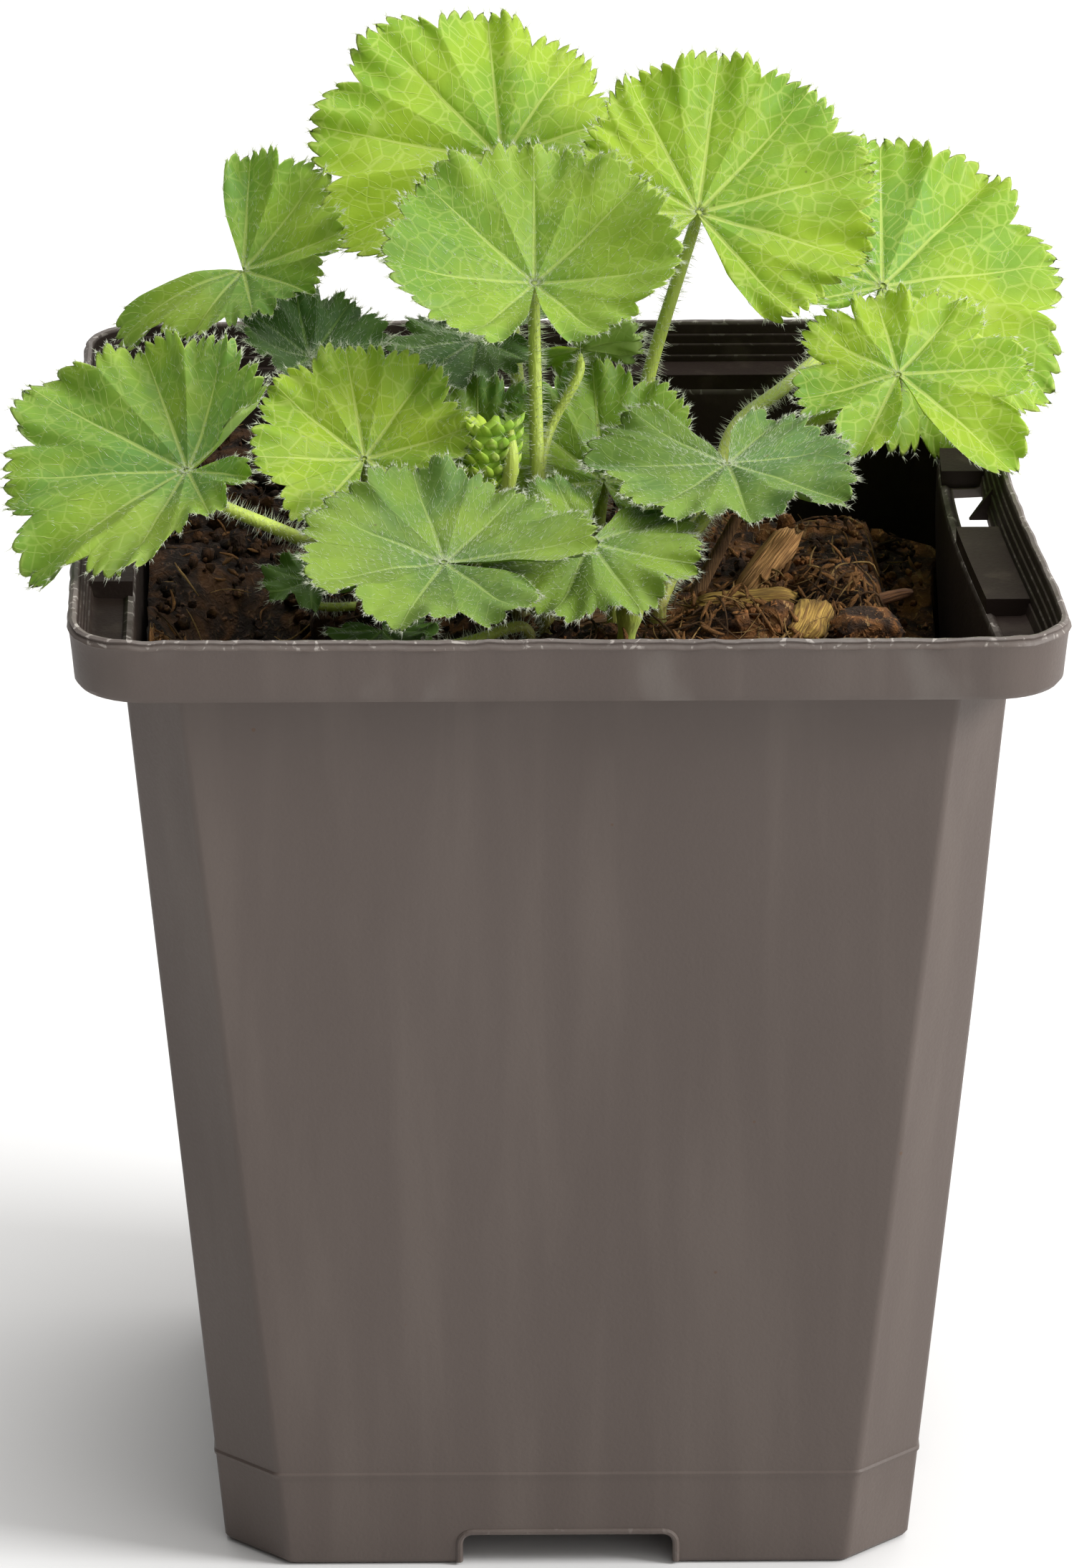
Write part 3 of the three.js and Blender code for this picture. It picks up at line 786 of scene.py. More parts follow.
def square_ring(half: float, corner: float, curve: float, z: float, side_steps: int = 84,
                corner_steps: int = 10) -> Array:
    """One closed ring of a square with chamfered (curve 0) to round (curve 1) corners.

    Args:
        half: half width.
        corner: corner size.
        curve: share of roundness.
        z: height.
        side_steps: steps along a side.
        corner_steps: steps round a corner.

    Returns:
        Array: the ring's places, turning left from the right side's front end.
    """
    flat = half - corner
    soft = corner * 0.2
    start = flat - soft * math.tan(math.pi / 8) * (1 - curve)
    along = np.linspace(-start, start, side_steps, endpoint=False)
    f = np.arange(corner_steps) / corner_steps * np.pi / 2
    arc = flat + corner * np.stack([np.cos(f), np.sin(f)], 1)
    half_turn = corner_steps // 2
    bend = np.concatenate([np.linspace(0, np.pi / 4, half_turn),
                           np.linspace(np.pi / 4, np.pi / 2, half_turn, endpoint=False)])
    first = np.arange(corner_steps)[:, None] < half_turn
    heart = np.where(first, [[half - soft, start]], [[start, half - soft]])
    cut = heart + soft * np.stack([np.cos(bend), np.sin(bend)], 1)
    run = np.vstack([np.stack([np.full(side_steps, half), along], 1), cut * (1 - curve) + arc * curve])
    sides = []
    for k in range(4):
        c, s = quarter(k)
        sides.append(np.stack([run[:, 0] * c - run[:, 1] * s, run[:, 0] * s + run[:, 1] * c], 1))
    flat_ring = np.vstack(sides)
    return np.column_stack([flat_ring, np.full(len(flat_ring), z)])


@dataclass
class NurseryPot:
    """Square tapered pot with a collar, crossed drain channels and label slots."""

    height: float = 117.0
    rim_half: float = 55.0
    rim_corner: float = 8.0
    collar: float = 7.5
    top_half: float = 49.0
    base_half: float = 38.7
    chamfer_top: float = 6.2
    chamfer_base: float = 7.15
    wall: float = 1.05
    floor: float = 5.4
    channel: tuple[float, float] = (24.5, 4.2)
    arch_round: float = 1.5
    parting: float = 11.46
    drain_radius: float = 4.0
    drain_spread: float = 22.0
    seat_height: float = 2.3
    sharp: float = 34.0

    def half_at(self, z: float) -> float:
        """Half width of the body at a height."""
        return self.base_half + (self.top_half - self.base_half) * z / (self.height - self.collar)

    def corner_at(self, z: float) -> float:
        """Corner chamfer of the body at a height."""
        return self.chamfer_base + (self.chamfer_top - self.chamfer_base) * z / (self.height - self.collar)

    def profile(self) -> list[tuple[float, float, float, float, str]]:
        """Rings from the base up outside, over the lip and down inside.

        Returns:
            list: height, half width, corner, roundness and zone of each ring.
        """
        foot = self.height - self.collar
        rings = []
        for z, inset in ((0.0, 0.75), (0.25, 0.3), (0.8, 0.0)):
            rings.append((z, self.half_at(z) - inset, self.corner_at(z), 0, "out"))
        for z, bulge in ((5.0, 0), (self.parting - 0.45, 0), (self.parting - 0.15, 0.16),
                         (self.parting + 0.15, 0.16), (self.parting + 0.4, 0)):
            rings.append((z, self.half_at(z) + bulge, self.corner_at(z), 0, "out"))
        for z in (30, 50, 67, 74, 80, 86, 92, 98, 103, 107, foot - 0.6):
            rings.append((z, self.half_at(z), self.corner_at(z), 0, "out"))
        rim, corner = self.rim_half, self.rim_corner
        rings += [(foot - 0.3, self.top_half + 0.4, self.chamfer_top, 0.4, "out"),
                  (foot - 0.15, rim - 2.2, corner - 1.0, 0.9, "out"),
                  (foot + 0.1, rim - 1.2, corner - 0.6, 1, "collar"),
                  (foot + 0.8, rim - 0.75, corner - 0.5, 1, "collar"),
                  (foot + 3, rim - 0.55, corner - 0.4, 1, "collar"),
                  (foot + 5, rim - 0.35, corner - 0.3, 1, "collar"),
                  (self.height - 1.3, rim - 0.2, corner - 0.2, 1, "collar"),
                  (self.height - 1.0, rim, corner, 1, "lip"),
                  (self.height - 0.7, rim - 0.1, corner, 1, "wear_and_glint"),
                  (self.height - 0.45, rim - 0.35, corner - 0.2, 1, "groove"),
                  (self.height - 0.2, rim - 0.25, corner - 0.2, 1, "wear_and_glint"),
                  (self.height, rim - 0.55, corner - 0.4, 1, "wear_and_glint"),
                  (self.height - 0.1, rim - 0.95, corner - 0.6, 1, "wear_and_glint"),
                  (self.height - 0.5, rim - 1.15, corner - 0.8, 1, "in")]
        for k, drop in enumerate((1.5, 2.6, 3.9, 5.2)):
            step = 0.24 * k
            rings += [(self.height - drop, rim - 1.2 - step, corner - 0.9, 1, "in"),
                      (self.height - drop - 0.1, rim - 1.38 - step, corner - 0.9, 1, "step"),
                      (self.height - drop - 0.3, rim - 1.44 - step, corner - 0.9, 1, "in")]
        inner_top = self.top_half - self.wall
        rings += [(foot + 1.0, rim - 2.4, corner - 1.3, 1, "in"),
                  (foot + 0.8, rim - 2.9, corner - 1.5, 0.9, "in"),
                  (foot + 0.75, inner_top + 1.3, self.chamfer_top, 0.5, "in"),
                  (foot + 1.1, inner_top + 0.8, self.chamfer_top, 0.4, "edge"),
                  (foot + 1.0, inner_top + 0.25, self.chamfer_top, 0.35, "edge"),
                  (foot + 0.4, inner_top, self.chamfer_top - 0.6, 0.25, "in")]
        for z in (106, 103, 98, 92, 86, 80, 74, 67, 40, self.floor):
            rings.append((z, self.half_at(z) - self.wall, self.corner_at(z) - 0.6, 0.25, "in"))
        return rings

    def arch(self, foot: float) -> Array:
        """Outline of a drain channel, up one side and down the other.

        Args:
            foot: height where it starts and ends.

        Returns:
            Array: (n, 2) places across and up.
        """
        half, tall, r = self.channel[0] / 2, self.channel[1], self.arch_round
        f = np.linspace(0, np.pi / 2, 6)
        right = np.vstack([[[half, foot]],
                           np.stack([half - r + r * np.cos(f), tall - r + r * np.sin(f)], 1)])
        return np.vstack([right, (right * [-1, 1])[::-1]])

    def channel_tool(self, turned: bool) -> bpy.types.Object:
        """Helper solid of one drain channel, with rounded upper corners.

        Args:
            turned: whether it runs left to right.

        Returns:
            bpy.types.Object: the helper.
        """
        section = self.arch(-3)
        count = len(section)
        points = np.vstack([np.column_stack([section[:, 0], np.full(count, y), section[:, 1]])
                            for y in (-60, 60)])
        faces = strip_faces(2, count, True)
        faces += [list(range(count)), list(range(2 * count - 1, count - 1, -1))]
        if turned:
            points = points[:, [1, 0, 2]]
        else:
            faces = [face[::-1] for face in faces]
        return Bench.cutter("channel", points, faces)

    def drain_tool(self, x: float, y: float) -> bpy.types.Object:
        """Helper solid of one drain hole."""
        path = np.array([[x, y, 1.0], [x, y, 5.0], [x, y, 9.0]])
        return Bench.cutter("drain", *tube(path, np.full(3, self.drain_radius), 32))

    def seat(self, side: int) -> tuple[list, bpy.types.Object]:
        """Label seat on one side's ledge.

        Args:
            side: which side, 0 right, 1 back, 2 left, 3 front.

        Returns:
            tuple: the added solids and the slot's helper solid.
        """
        ledge, wall = self.height - self.collar + 0.5, self.rim_half - 1.3
        wide, tall = (self.top_half - 0.75, wall), (ledge, ledge + self.seat_height)
        solids = [box_solid(wide, (-29, -5), tall, 24), box_solid(wide, (14, 22), tall, 8),
                  (np.array([[wall, 3.7, ledge], [wall - 3, 3.7, ledge], [wall, 3.7, ledge + 4.3],
                             [wall, 4.5, ledge], [wall - 3, 4.5, ledge], [wall, 4.5, ledge + 4.3]]),
                   [[0, 2, 1], [3, 4, 5], [0, 1, 4, 3], [1, 2, 5, 4], [2, 0, 3, 5]])]
        slot = box_solid((self.top_half + 0.5, wall - 0.9), (-4.4, 13.4), (ledge - 2.5, ledge + 0.9), 18)
        c, s = quarter(side)
        turn = np.array([[c, s, 0], [-s, c, 0], [0, 0, 1]])
        placed = [((bowed(p) if side == 0 else p) @ turn, f) for p, f in solids]
        hole = (bowed(slot[0]) if side == 0 else slot[0]) @ turn
        return placed, Bench.cutter("slot", hole, slot[1])

    def notch_beads(self) -> list:
        """Rounded beads round the four arches at the foot of the walls.

        Returns:
            list: vertices and faces of each bead.
        """
        arch = self.arch(0.4)
        beads = []
        for side in range(4):
            c, s = quarter(side)
            out = np.array([self.half_at(z) - 0.15 for z in arch[:, 1]])
            path = np.column_stack([out * c - arch[:, 0] * s, out * s + arch[:, 0] * c, arch[:, 1]])
            beads.append(tube(path, np.full(len(path), 0.42), 10))
        return beads

    def build(self, plastic: PotPlastic) -> bpy.types.Object:
        """Make and dress the pot.

        Args:
            plastic: its finish.

        Returns:
            bpy.types.Object: the pot.
        """
        finishes = (plastic.make(False), plastic.make(True))
        inside = ("in", "edge", "step")
        rings, zones, picks = [], [], []
        for z, half, corner, curve, zone in self.profile():
            ring = square_ring(half, corner, curve, z)
            if zone in ("lip", "wear_and_glint", "groove"):
                ring[:, 2] += 0.22 * rough(ring, 2.2, 5, 3) + 0.12 * rough(ring, 22, 6, 2)
                ring[:, :2] *= 1 + 0.003 * rough(ring, 2.4, 8, 3)[:, None]
            if rings:
                picks += [int(zone in inside)] * len(ring)
            rings.append(bowed(ring))
            zones += [zone] * len(ring)
        count = len(rings[0])
        points = np.vstack(rings + [[[0, 0, 0]], [[0, 0, self.floor]]])
        faces = strip_faces(len(rings), count, True)
        last = (len(rings) - 1) * count
        for j in range(count):
            faces.append([len(points) - 2, (j + 1) % count, j])
            faces.append([len(points) - 1, last + j, last + (j + 1) % count])
            picks += [0, 1]
        zone = np.array(zones + ["out", "in"])
        # inner marks where the inside finish paints shade.
        marks = {"inner": np.isin(zone, inside).astype(float),
                 "collar": (zone == "collar").astype(float),
                 # rubbed wear with painted glints on the lip and inner bead, less on the steps and beads
                 "wear_and_glint": (zone == "wear_and_glint") * 0.8 + (zone == "edge") * 0.75 + (zone == "step") * 0.16}
        pot = Bench.piece("nursery_pot", points, faces, "pot_plastic", ("pot",), finishes,
                          np.array(picks), marks=marks)
        tools = [self.channel_tool(False), self.channel_tool(True)]
        tools += [self.drain_tool(self.drain_spread * x, self.drain_spread * y)
                  for x, y in ((0, 0), (1, 0), (0, 1), (-1, 0), (0, -1))]
        added = []
        for side in range(4):
            solids, slot = self.seat(side)
            added += solids
            tools.append(slot)
        Bench.carve(pot, tools)
        pot.data.polygons.foreach_set("use_smooth", np.full(len(pot.data.polygons), True))
        pot.data.set_sharp_from_angle(angle=math.radians(self.sharp))
        solids = added + self.notch_beads()
        # The label seats take the inside finish with its painted shade.
        dull = [float(k < len(added)) for k in range(len(solids))]
        picks = np.repeat(dull, [len(faces) for _, faces in solids])
        shade = np.repeat(dull, [len(points) for points, _ in solids])
        Bench.piece("pot_label_seats", *gather(solids), "pot_plastic", (), finishes, picks, False,
                    marks={"inner": shade, "collar": shade * 0, "wear_and_glint": (1 - shade) * 0.12})
        edge = pot.modifiers.new("crisp", "WEIGHTED_NORMAL")
        edge.keep_sharp = True
        return pot


# ------------------------------------------------------------------ compost
def soil_level(x: Array, y: Array) -> Array:
    """Height of the compost's mean surface.

    Args:
        x: X from the pot axis in millimetres.
        y: Y in millimetres.

    Returns:
        Array: heights in millimetres.
    """
    z = 105.4 + 0.7 * np.sin(x * 0.31 + 1) * np.cos(y * 0.27) + 0.5 * np.sin(x * 0.14 - y * 0.19 + 2)
    for floor, share in ((91, ease(36, 42, x)), (94, ease(12, 24, x) * ease(16, 28, y))):
        z = z + (floor - z) * share
    return z - 12 * np.exp(-(((x + 34) / 7) ** 2) - ((y + 20) / 16) ** 2)


# X, Y, width, depth and height of each heap or hollow.
HEAPS = ((18, -23, 6.5, 4.5, 3.0), (33, -26, 5, 3.5, 1.8), (29, -6, 6, 6, 2.4), (24, -17, 2.5, 3, -1.5),
         (34, -14, 3, 4, 1.6), (-45, -30, 4, 9, 1.8), (-34, -21, 6, 14, -9))


def heaped(x: Array, y: Array) -> Array:
    """Height of the compost with its heaps at the right and its hollow at the left.

    Args:
        x: X from the pot axis in millimetres.
        y: Y in millimetres.

    Returns:
        Array: heights in millimetres.
    """
    z = soil_level(x, y)
    for px, py, wide, deep, tall in HEAPS:
        z = z + tall * np.exp(-(((x - px) / wide) ** 2) - ((y - py) / deep) ** 2)
    return z


@dataclass
class Compost:
    """Lumpy peat with fibres and crumbs on top."""

    pot: NurseryPot
    loose: int = 1700
    half: float = 46.0
    rng: np.random.Generator = field(default_factory=lambda: np.random.default_rng(41))

    def taper(self) -> float:
        """How much the pot's half width grows per millimetre of height."""
        return (self.pot.top_half - self.pot.base_half) / (self.pot.height - self.pot.collar)

    def kept_in(self, x: Array, y: Array, gap: float) -> tuple[Array, Array]:
        """Draw places on the top back from the pot's wall.

        Args:
            x: X from the pot axis in millimetres.
            y: Y in millimetres.
            gap: room to leave at the wall.

        Returns:
            tuple[Array, Array]: the new X and Y.
        """
        reach = self.pot.base_half + (heaped(x, y) - 3) * self.taper() - self.pot.wall - gap
        x, y = np.clip(x, -reach, reach), np.clip(y, -reach, reach)
        share = np.minimum(1.0, 1.8 * reach / (np.abs(x) + np.abs(y) + 1e-9))
        return x * share, y * share

    def surface(self) -> tuple[Array, list]:
        """The top and sides as one skin.

        Returns:
            tuple[Array, list]: vertices and faces.
        """
        shares = np.concatenate([np.linspace(1, 0.94, 5), np.linspace(0.925, 0.03, 74)])
        rim = square_ring(1.0, 0.13, 0.2, 0.0, 72, 8)
        rows = []
        for drop in (70.0, 30.0, 12.0, 5.0):
            ring = rim.copy()
            top = heaped(ring[:, 0] * self.half, ring[:, 1] * self.half)
            ring[:, 2] = np.maximum(top - drop, self.pot.floor + 0.4)
            ring[:, :2] *= (self.pot.base_half + ring[:, 2:] * self.taper() - self.pot.wall - 0.5)
            rows.append(bowed(ring))
        for share in shares:
            ring = rim.copy()
            ring[:, 2] = heaped(ring[:, 0] * self.half * share, ring[:, 1] * self.half * share)
            ring[:, :2] *= (self.pot.base_half + ring[:, 2:] * self.taper() - self.pot.wall - 0.7) * share
            ring = bowed(ring)
            flat = ring * [1, 1, 0.3]
            lumps = 1.7 * rough(flat, 6.5, 3, 4) + 1.1 * np.abs(rough(flat, 2.6, 9, 3))
            lumps += 0.6 * rough(flat, 1.1, 12, 2)
            ring[:, 2] += lumps - 0.6
            ring[:, :2] += 0.25 * np.stack([rough(flat, 1.7, 21, 2), rough(flat, 1.7, 22, 2)], 1)
            rows.append(ring)
        count = len(rim)
        points = np.vstack(rows + [[[0, 0, 104.5]]])
        faces = strip_faces(len(rows), count, True)
        top = (len(rows) - 1) * count
        faces += [[len(points) - 1, top + j, top + (j + 1) % count] for j in range(count)]
        return points, faces

    def crumbs(self, count: int) -> tuple[Array, list]:
        """Loose crumbs scattered over the top.

        Args:
            count: how many.

        Returns:
            tuple[Array, list]: vertices and faces.
        """
        ball = np.vstack([[[0, 0, -1]], ball_rings((-0.75, 0, 0.75), 8), [[0, 0, 1]]])
        skin = strip_faces(3, 8, True, 1)
        skin += [[0, 1 + (k + 1) % 8, 1 + k] for k in range(8)]
        skin += [[25, 17 + k, 17 + (k + 1) % 8] for k in range(8)]
        solids = []
        for k in range(count):
            x, y = self.rng.uniform(-46, 45), self.rng.uniform(-46, 46)
            size = self.rng.choice([0.35, 0.55, 0.9, 1.5], p=[0.5, 0.33, 0.14, 0.03])
            size *= self.rng.uniform(0.7, 1.3)
            shape = ball * size * self.rng.uniform(0.5, 1.3, 3)
            shape += 0.8 * size * rough(ball + k * 7.3, 0.6, 31, 2)[:, None] * ball
            x, y = self.kept_in(np.array(x), np.array(y), 0.6 + 1.4 * size)
            place = np.array([x, y, heaped(x, y) + 0.45])
            solids.append((shape + bowed(place[None])[0], skin))
        return gather(solids)

    def fibres(self, count: int, longest: float, thick: float, crowd: float) -> tuple[Array, list, dict]:
        """Thin curved roots and peat fibres lying on the top.

        Args:
            count: how many.
            longest: longest fibre in millimetres.
            thick: radius of the thickest.
            crowd: share that lies on the heaps at the right and left.

        Returns:
            tuple: vertices, faces and grain marks.
        """
        hearts = ((27, -20), (27, -20), (20, -25), (33, -24), (-45, -28))
        solids, run = [], []
        for _ in range(count):
            x, y = self.rng.uniform(-45, 44), self.rng.uniform(-46, 45)
            if self.rng.random() < crowd:
                heart = hearts[self.rng.integers(5)]
                x, y = heart[0] + self.rng.normal(0, 5.5), heart[1] + self.rng.normal(0, 7)
            size = self.rng.uniform(0.25, 1.0) * longest
            turn = self.rng.uniform(0, math.pi)
            f = np.linspace(-0.5, 0.5, 7)
            bend = self.rng.uniform(-0.2, 0.2) * size * (0.25 - f ** 2) * 4
            px = x + f * size * math.cos(turn) - bend * math.sin(turn)
            py = y + f * size * math.sin(turn) + bend * math.cos(turn)
            px, py = self.kept_in(px, py, 1.2)
            lift = self.rng.uniform(0.3, 1.6) + self.rng.uniform(-1.2, 1.6) * (f + 0.5)
            path = bowed(np.column_stack([px, py, heaped(px, py) + lift]))
            radius = self.rng.uniform(0.25, 1.0) * thick * (1 - 0.6 * np.abs(f) * 2)
            solids.append(tube(path, radius, 5))
            run.append(np.linspace(0, size, len(solids[-1][0])))
        places, faces = gather(solids)
        return places, faces, {"run": np.concatenate(run), "girth": self.rng.uniform(0, 9, len(places))}

    def build(self, earth: Earth) -> None:
        """Make and dress the compost.

        Args:
            earth: its finish.
        """
        finish = earth.make("peat")
        Bench.piece("peat", *self.surface(), "compost", ("compost",), (finish,))
        crumbs = earth.make("peat_crumb", 1.4)
        Bench.piece("peat_crumbs", *self.crumbs(self.loose), "compost", (), (crumbs,))
        for name, count, longest, thick, crowd, pale, dark in (
                ("peat_fibres_dark", 380, 8.0, 0.22, 0.3, (0.14, 0.07, 0.025), (0.05, 0.025, 0.01)),
                ("peat_shreds", 750, 2.8, 0.36, 0.7, (0.36, 0.17, 0.05), (0.15, 0.065, 0.02)),
                ("peat_fibres_tan", 300, 6.0, 0.17, 0.6, (0.5, 0.32, 0.11), (0.28, 0.15, 0.045))):
            points, faces, marks = self.fibres(count, longest, thick, crowd)
            Bench.piece(name, points, faces, "bark", (), (Bark(name, pale, dark).make(),), marks=marks)


# ------------------------------------------------------------------ leaves
TUFT_WIDTH = 0.065
DOWN_WIDTH = 0.034


@dataclass
class Leaf:
    """One palmate leaf with its stalk; sizes in millimetres, angles in degrees."""

    name: str
    hub: tuple[float, float, float]
    radius: float
    turn: float
    pitch: float
    lean: float
    cone: float
    span: float
    reach: tuple[float, ...]
    root: tuple[float, float]
    tone: Tone
    via: tuple[tuple[float, float, float], ...] = ()
    lift: tuple[float, ...] = ()
    depth: float = 0.12
    pleat: float = 0.15
    stalk: float = 0.85
    teeth: int = 8
    bite: float = 1.0
    wave: float = 1.35
    downy: int = 900
    round_off: float = 0.42
    thick: float = 0.22
    hairs_per_mm: int = 26
    seed: int = 1

    def frame_of(self) -> Array:
        """Rows that turn the leaf's own axes into the pot's."""
        return (spin(1, self.lean) @ spin(0, self.pitch) @ spin(2, self.turn)).T

    def ripple(self, values: tuple[float, ...], place: Array) -> Array:
        """Values given once per lobe, blended smoothly between lobe middles.

        Args:
            values: one value per lobe.
            place: places across the leaf, counted in lobes.

        Returns:
            Array: the blended values.
        """
        f = np.clip(place - 0.5, 0, len(values) - 1)
        i = np.minimum(np.floor(f).astype(int), len(values) - 2)
        w = f - i
        w = w * w * (3 - 2 * w)
        v = np.asarray(values, float)
        return v[i] * (1 - w) + v[i + 1] * w

    def grid(self, angle: Array, t: Array) -> tuple[Array, dict[str, Array]]:
        """Places on the blade in its own axes.

        Args:
            angle: angles from the middle lobe, in radians.
            t: shares of the way from hub to margin.

        Returns:
            tuple: places and the marks that the finish reads.
        """
        lobes = len(self.reach)
        span = math.radians(self.span)
        place = (angle / span + 0.5) * lobes
        lobe = np.clip(np.floor(place), 0, lobes - 1)
        s = (place - lobe) * 2 - 1
        q = (s + 1) / 2 * self.teeth
        q = q - np.floor(q)
        beside = np.abs(2 * q - 1)
        tooth = 0.88 * (1 - beside ** 2.5) + 0.12 * np.exp(-(beside / 0.18) ** 2)
        which = np.column_stack([np.floor((s + 1) / 2 * self.teeth), lobe, t * 0 + self.seed])
        vary = grain(which + 0.5, 1.0, 77)
        vary_lobe = grain(np.column_stack([place, t * 0 + self.seed * 3.1, t * 0]), 0.9, 55)
        size = self.ripple(self.reach, place)
        outer = np.where(lobe == 0, np.clip(-s, 0, 1), np.where(lobe == lobes - 1, np.clip(s, 0, 1), 0))
        full = self.radius * size * (1 - self.depth * np.abs(s) ** 4) * (1 - self.round_off * outer ** 2.5)
        bite = (0.55 + 0.028 * self.radius) * self.bite * (1 + 0.3 * vary) * ease(0.86, 1.0, t) ** 1.2
        r = full * t - bite * (1 - tooth) + 0.35 * bite
        turned = angle - np.sign(s) * tooth * ease(0.88, 1.0, t) * 0.022 * (np.abs(s) > 0.12)
        across = s * span / lobes / 2 * r
        cone = math.radians(self.cone)
        lift = self.ripple(self.lift or (0.0,) * lobes, place)
        fold = (np.sqrt(s ** 2 + 0.03) - 0.5) * (1 - 0.45 * t) * (1 + 0.5 * vary_lobe)
        z = r * math.sin(cone) + lift * r * t + self.pleat * r * fold
        crease = np.exp(-(across / 0.45) ** 2) * ease(1.0, 0.6, t) * ease(0.02, 0.14, t) * 0.18
        z = z - crease
        flat = np.column_stack([r * np.sin(turned), r * np.cos(turned), np.full_like(r, self.seed * 31.0)])
        z = z + self.wave * rough(flat, 8.5, self.seed, 2) * t + 0.12 * rough(flat, 2.0, self.seed + 5, 2)
        ruffle = np.sin(place * 2 * np.pi * 1.37 + self.seed)
        ruffle = ruffle + 0.6 * np.sin(place * 2 * np.pi * 2.9 + 2.2 * self.seed)
        z = z + 0.5 * self.wave * ease(0.55, 1.05, t) * ruffle
        places = np.column_stack([flat[:, 0] * math.cos(cone), flat[:, 1] * math.cos(cone), z])
        return places, {"across": across, "along": r, "rim": t}

    def blade(self) -> tuple[Array, list, Array, dict[str, Array], Array]:
        """Both faces of the blade, joined round the margin.

        Returns:
            tuple: places, faces, finish of each face, marks and the margin's vertex numbers.
        """
        lobes = len(self.reach)
        columns = lobes * self.teeth * 6 + 1
        upper = np.concatenate([[0.025], np.linspace(0.06, 0.86, 16), [0.9, 0.93, 0.955, 0.978, 1.0]])
        lower = np.array([0.06, 0.2, 0.35, 0.5, 0.65, 0.8, 0.9])
        angle = math.radians(self.span) * (np.arange(columns) / (columns - 1) - 0.5)
        parts, marks = [], []
        for rows in (upper, lower):
            a, t = np.tile(angle, len(rows)), np.repeat(rows, columns)
            places, mark = self.grid(a, t)
            parts.append(places)
            marks.append(mark)
        parts[1][:, 2] -= self.thick
        hub = np.array([[0, 0, -0.05], [0, 0, -0.25]], float)
        points = np.vstack(parts + [hub])
        n_up = len(parts[0])
        joined = {k: np.concatenate([marks[0][k], marks[1][k], [0, 0]]) for k in marks[0]}
        top = [face[::-1] for face in strip_faces(len(upper), columns, False)]
        top += [[j + 1, j, len(points) - 2] for j in range(columns - 1)]
        bottom = strip_faces(len(lower), columns, False, n_up)
        bottom += [[n_up + j, n_up + j + 1, len(points) - 1] for j in range(columns - 1)]
        edge = (len(upper) - 1) * columns
        inner = n_up + (len(lower) - 1) * columns
        bottom += [[inner + j, inner + j + 1, edge + j + 1, edge + j] for j in range(columns - 1)]
        picks = np.repeat([0, 1], [len(top), len(bottom)])
        return points, top + bottom, picks, joined, np.arange(edge, edge + columns)

    def tufts(self, points: Array, margin: Array, rng: np.random.Generator) -> tuple[Array, list]:
        """White hairs at the teeth and along the margin.

        Args:
            points: the blade's places in its own axes.
            margin: vertex numbers round the margin.
            rng: source of the spread.

        Returns:
            tuple[Array, list]: vertices and faces.
        """
        rim = points[margin]
        tips = rim[3::6][:-1] if self.teeth * len(self.reach) * 6 + 1 == len(rim) else rim
        many = np.repeat(tips, 5, axis=0)
        around = rim[rng.integers(0, len(rim), self.downy // 2)]
        roots = np.vstack([many + rng.normal(0, 0.07, many.shape), around])
        out = unit(roots, 1e-9)
        ways = unit(out + rng.normal(0, 0.3, roots.shape))
        sizes = np.concatenate([rng.uniform(0.4, 1.0, len(many)), rng.uniform(0.25, 0.7, len(around))])
        return hair_blades(roots - out * 0.05, ways, sizes, TUFT_WIDTH, rng)

    def down(self, points: Array, rng: np.random.Generator, count: int) -> tuple[Array, list]:
        """Short silky hairs lying over the blade.

        Args:
            points: the blade's places in its own axes.
            rng: source of the spread.
            count: how many.

        Returns:
            tuple[Array, list]: vertices and faces.
        """
        pick = rng.integers(0, int(len(points) * 0.75), count)
        roots = points[pick] + [0, 0, 0.02]
        out = unit(roots, 1e-9)
        ways = unit(out * 0.8 + np.array([0, 0, 0.55]) + rng.normal(0, 0.3, roots.shape))
        return hair_blades(roots, ways, rng.uniform(0.35, 0.95, count), DOWN_WIDTH, rng)

    def stalk_path(self) -> Array:
        """Centre line of the stalk, from inside the crown to just under the blade.

        Returns:
            Array: places along the stalk.
        """
        low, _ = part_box(f"leaf_{self.name}_stalk")
        aim = np.array([0, 0, 1.0]) @ self.frame_of()
        if self.tone is Tone.YOUNG:
            aim = np.array([0.287, 0, 0.958])  # the folded leaf stands nearly upright
        hub = np.array(self.hub)
        foot = np.array([*self.root, low[2] / MM + self.stalk * 0.6])
        neck = hub - 3 * aim
        via = np.array(self.via) if self.via else (foot + (neck - foot) * [0.45, 0.45, 0.6])[None]
        start = foot + (via[0] - foot) * 0.12
        start[2] = foot[2] + 1.2
        knots = np.vstack([foot - [0, 0, 3.5], foot, start, via, neck, hub - 0.9 * aim])
        return smooth_path(knots, 46)

